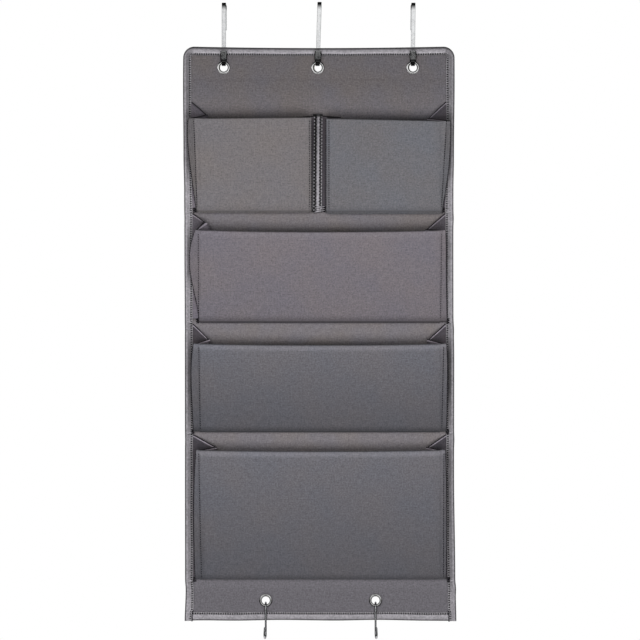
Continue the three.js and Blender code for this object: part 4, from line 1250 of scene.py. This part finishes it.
def round_ended(line, radius, steps, tip):
    """A line with closer points near its ends, where a bar of this radius is rounded off: its points, the
    length run at each and how far each is from the nearer end."""
    run = run_along(line)
    ends = radius * (1 - np.cos(np.linspace(0, np.pi / 2, steps)[1:]))
    inner = run[(run > ends[-1]) & (run < run[-1] - ends[-1])]
    places = np.unique(np.concatenate([[tip], ends, inner, run[-1] - ends, [run[-1] - tip]]))
    points = np.stack([np.interp(places, run, column) for column in line.T], 1)
    return points, places, np.minimum(places, run[-1] - places)


def straight(start, end, count):
    """Evenly spaced points from a start to an end, without the start."""
    return np.linspace(start, end, count + 1)[1:]


def hook_strip(name, node, side_lean, plating_tone, rise):
    """The hook's centre line: tip, throat, front leg, two bends over the door and the back leg. The
    strip's section is a rounded rectangle. Its tip is drawn wider. The tip and the bend over the door's edge
    are painted dark as dark reflections and the throat as shadow, with painted shadow at the tip's edges and
    painted shade down the strip's sides. The front leg leans a little to one side."""
    low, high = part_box(node)
    x = (low.x + high.x) / 2
    x = x + hang(x, HOLES["top_middle"].z)[0]
    half, slot = STRIP_THICKNESS / 2, DOOR_SLOT / 2
    throat_y, throat_z = low.y + STRIP_THICKNESS + HOOK_THROAT / 2, low.z + STRIP_THICKNESS + HOOK_THROAT / 2
    throat, bend = HOOK_THROAT / 2 + half, STRIP_BEND + half
    corner_z = rise - STRIP_BEND
    up, tip_height = np.linspace(1, 0, 16), HOOK_TIP_TOP - throat_z
    line = np.concatenate([
        np.stack([throat_y - throat - HOOK_TIP_LEAN * tip_height * up**1.3, throat_z + tip_height * up], 1),
        arc(throat_y, throat_z, throat, throat, 0.5, 1.0, 25)[1:],
        straight((-slot - half, throat_z), (-slot - half, corner_z), 12),
        arc(STRIP_BEND - slot, corner_z, bend, bend, 0.5, 0.25, 11)[1:],
        straight((STRIP_BEND - slot, half + rise), (slot - STRIP_BEND, half + rise), 8),
        arc(slot - STRIP_BEND, corner_z, bend, bend, 0.25, 0.0, 11)[1:],
        straight((slot + half, corner_z), (slot + half, -HOOK_BACK_LEG), 8)])
    line, places, to_end = round_ended(line, TIP_ROUND, 7, 0.00002)
    y, z = line.T
    path = np.stack([x + side_lean * (z - throat_z), y, z], 1)
    round_off = 1 - np.clip(1 - to_end / TIP_ROUND, 0, 1) ** 2
    at_tip = np.clip(1 - (places - TIP_LENGTH) / 0.003, 0, 1)
    width = STRIP_WIDTH / 2 * (1 - TIP_ROUND * 2 / STRIP_WIDTH * (1 - np.sqrt(round_off)))
    width = width * (1 + TIP_WIDER * at_tip)
    swing = arc(0, 0, 1, 1, 0, 1, 41)[:-1]
    box_x, box_y = (np.sign(swing) * np.maximum(np.abs(swing), 1e-9) ** [0.25, 0.45]).T
    thin = np.minimum(1, 0.55 + to_end / 0.0012)
    sections = np.stack([width[:, None] * box_x, half * thin[:, None] * box_y], -1)
    at_top = ramp(z, rise - STRIP_TOP_REACH, 0.0006)
    in_throat = ramp(places, THROAT_RUN[0], 0.0015) * np.clip((THROAT_RUN[1] - places) / 0.0015, 0, 1)
    tone = plating_tone - (plating_tone - TIP_DARK_REFLECTION) * at_tip - (plating_tone - BEND_DARK_REFLECTION) * at_top
    tone = (tone + (THROAT_SHADOW - tone) * in_throat)[:, None]
    tone = dimmed(tone, TIP_EDGE_SHADOW, at_tip[:, None] * (np.abs(box_x) > 0.80))
    tone = dimmed(tone, STRIP_SIDE_SHADE, (1 - at_tip[:, None]) * (np.abs(box_x) > 0.85))
    return swept(name, path, sections, tone)


strip_plating = chrome("strip plating", (238, 239, 240), 0.16)
for side, looks in HOOKS.items():
    hook = hook_strip("hook_strip_" + side, "door_hook_" + side, *looks)
    dress(hook, strip_plating, "hook_" + side, "hook_steel", "door_hook_" + side)

# The S-hooks: plated round wire, 2.5 mm thick, with a tight curl that sits in the grommet and an open loop
# below for what hangs there. Each has sprung a little out of its own plane.
WIRE_RADIUS = 0.00125
CURL_RADIUS = 0.00575
LOOP_RADIUS = 0.00625
CURL_BACK = 8 / 360
FREE_LEG = 0.009
WIRE_LEAN = np.radians(6.326)
LOOP_DOWN = 0.0313
# The wire's sides are painted dark round a bright middle, as a painted reflection
WIRE_SIDE_SHADE = 0.15
WIRE_TWIST = {"left": np.radians(7), "right": np.radians(-6)}


def wire_hook(name, joint, twist):
    """The wire's centre line in its own plane: curl, stem, loop and free leg. It turns about the stem by
    a twist that grows down the stem, then leans back until the stem meets the bottom binding."""
    centre = np.array(joint["pos_m"])
    centre[0] += hang(centre[0], HOLES["bottom_left"].z)[0]
    leg_y = -CURL_RADIUS - 2 * LOOP_RADIUS
    y, z = np.concatenate([
        arc(0, 0, CURL_RADIUS, CURL_RADIUS, -CURL_BACK, 0.5, 33),
        straight((-CURL_RADIUS, 0), (-CURL_RADIUS, -LOOP_DOWN), 20),
        arc(-CURL_RADIUS - LOOP_RADIUS, -LOOP_DOWN, LOOP_RADIUS, LOOP_RADIUS, 0, -0.5, 33)[1:],
        straight((leg_y, -LOOP_DOWN), (leg_y, FREE_LEG - LOOP_DOWN), 7)]).T
    turn = twist * np.clip(-z / LOOP_DOWN, 0, 1) ** 1.5
    flat = np.stack([(y + CURL_RADIUS) * np.sin(turn), (y + CURL_RADIUS) * np.cos(turn) - CURL_RADIUS, z], 1)
    cos, sin = np.cos(WIRE_LEAN), np.sin(WIRE_LEAN)
    lean = np.array([[1, 0, 0], [0, cos, -sin], [0, sin, cos]])
    path, _, to_end = round_ended(flat @ lean.T + centre, WIRE_RADIUS, 6, 0.00003)
    radius = WIRE_RADIUS * np.sqrt(1 - np.clip(1 - to_end / WIRE_RADIUS, 0, 1) ** 2)[:, None]
    circle = arc(0, 0, 1, 1, 0, 1, 17)[:-1]
    tone = dimmed(1, WIRE_SIDE_SHADE, ramp(np.abs(circle[:, 0]), 0.35, 0.3))
    return swept(name, path, radius[..., None] * circle, tone + 0 * radius)


wire_plating = chrome("wire plating", (214, 215, 218), 0.14)
for side, twist in WIRE_TWIST.items():
    hook = wire_hook("wire_hook_" + side, joints[f"s_hook_{side}_swing"], twist)
    dress(hook, wire_plating, "s_hook_" + side, "hook_steel", "s_hook_" + side)

# The studio: a pale floor under the hung organiser, large soft lamps and a white surround. The surround is
# white to the camera and in reflections, and dimmer as a light.
FLOOR_DROP = 1.25
FLOOR_HALF = 2.2
LAMPS = (
    ("low front lamp", (0.1, -2.35, -1.5), (2.4, 1.3), 52.0),
    ("high front lamp", (-0.9, -3.0, 0.8), (1.8, 1.6), 29.0),
    ("rear lamp", (0.6, 3.0, 1.0), (2.2, 1.8), 30.0),
)
SURROUND_LIGHT = 0.3
WHITE = (1.0, 1.0, 1.0, 1.0)


def seen_directly(tree):
    """1 where a ray comes from the camera, a reflection or glass, and 0 for rays that carry light."""
    path = wire(tree, "LightPath", {}).node.outputs
    either = sums(tree, "MAXIMUM", path["Is Camera Ray"], path["Is Glossy Ray"])
    return sums(tree, "MAXIMUM", either, path["Is Transmission Ray"])


def studio_floor():
    """A flat square with a slightly uneven paint. It adds a little light of its own to direct rays, so
    that it looks white away from the object's shadow."""
    x, y = np.meshgrid(*[np.linspace(-FLOOR_HALF, FLOOR_HALF, 9)] * 2)
    points = np.stack([x, y, 0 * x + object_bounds()[0].z - FLOOR_DROP], -1)
    floor = new_piece("studio_floor", points, [grid_cells(9, 9)])
    material, tree, shader = new_material("floor paint")
    uneven = noise(tree, wire(tree, "TexCoord", {}, "Object"), 40.0)
    paint = wire(tree, "VectorMath", {0: srgb(236, 236, 236)[:3], "Scale": total(tree, 0.99, (uneven, 0.02))},
                 operation="SCALE")
    feed(tree, shader, {"Base Color": paint, "Roughness": 0.9, "Emission Color": WHITE,
                        "Emission Strength": sums(tree, "MULTIPLY", seen_directly(tree), 0.35)})
    floor.data.materials.append(material)
    floor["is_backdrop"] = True


studio_floor()
world = bpy.data.worlds.new("studio surround")
bpy.context.scene.world = world
world.use_nodes = True
tree = world.node_tree
strength = wire(tree, "MapRange", {0: seen_directly(tree), 3: SURROUND_LIGHT, 4: 1.0})
feed(tree, tree.nodes["Background"], {"Strength": strength, "Color": WHITE})

for name, place, size, power in LAMPS:
    lamp = bpy.data.lights.new(name, "AREA")
    lamp.shape = "RECTANGLE"
    lamp.size, lamp.size_y = size
    lamp.energy = power
    holder = bpy.data.objects.new(name, lamp)
    bpy.context.scene.collection.objects.link(holder)
    holder.visible_camera = holder.visible_glossy = False
    holder.location = place
    aim = Vector((0, 0, (PANEL_TOP + PANEL_FOOT) / 2)) - holder.location
    holder.rotation_euler = aim.to_track_quat("-Z", "Y").to_euler()

# Dark cards round the studio, seen only in reflections: bright metal shows the dim room in them. Each is
# given by its centre and its two half sides.
CARD_TONE = 0.07
CARDS = {
    "left_card": ((-1.75, -0.6, -0.4), (0, 1.8, 0), (0, 0, 1.6)),
    "right_card": ((1.75, -0.6, -0.4), (0, 1.8, 0), (0, 0, 1.6)),
    "upper_card": ((0, -0.6, 1.15), (1.75, 0, 0), (0, 1.8, 0)),
    "lower_card": ((0, -1.2, -1.35), (1.75, 0, 0), (0, 0.8, 0)),
    "front_card": ((0, -2.6, -0.33), (1.7, 0, 0), (0, 0, 0.3)),
}
material, tree, shader = new_material("card paint")
feed(tree, shader, {"Base Color": (0, 0, 0, 1), "Specular IOR Level": 0.0, "Emission Color": WHITE,
                    "Emission Strength": CARD_TONE})
for name, (centre, across, up) in CARDS.items():
    points = np.array(centre) + np.array([[-1, -1], [1, -1], [-1, 1], [1, 1]]) @ np.array([across, up])
    card = new_piece(name, points, [grid_cells(2, 2)])
    card.data.materials.append(material)
    card.visible_camera = card.visible_diffuse = card.visible_shadow = False
    card.visible_transmission = card.visible_volume_scatter = False
    card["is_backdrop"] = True

# The camera: straight in front of the panel's middle and far off, so that its sides stay parallel. The
# view is as wide as the photograph.
CAMERA_DISTANCE = 5.6
VIEW_WIDTH = 0.8045
VIEW_X = 0.0009
VIEW_Z = -0.3973
camera = bpy.data.cameras.new("camera")
camera.sensor_width = 36.0
camera.lens = camera.sensor_width * CAMERA_DISTANCE / VIEW_WIDTH
camera.clip_end = 50.0
holder = bpy.data.objects.new("camera", camera)
bpy.context.scene.collection.objects.link(holder)
holder.location = (VIEW_X, FACE_FRONT - CAMERA_DISTANCE, VIEW_Z)
holder.rotation_euler = (np.pi / 2, 0, 0)
bpy.context.scene.camera = holder
bpy.context.scene.view_settings.view_transform = "Standard"
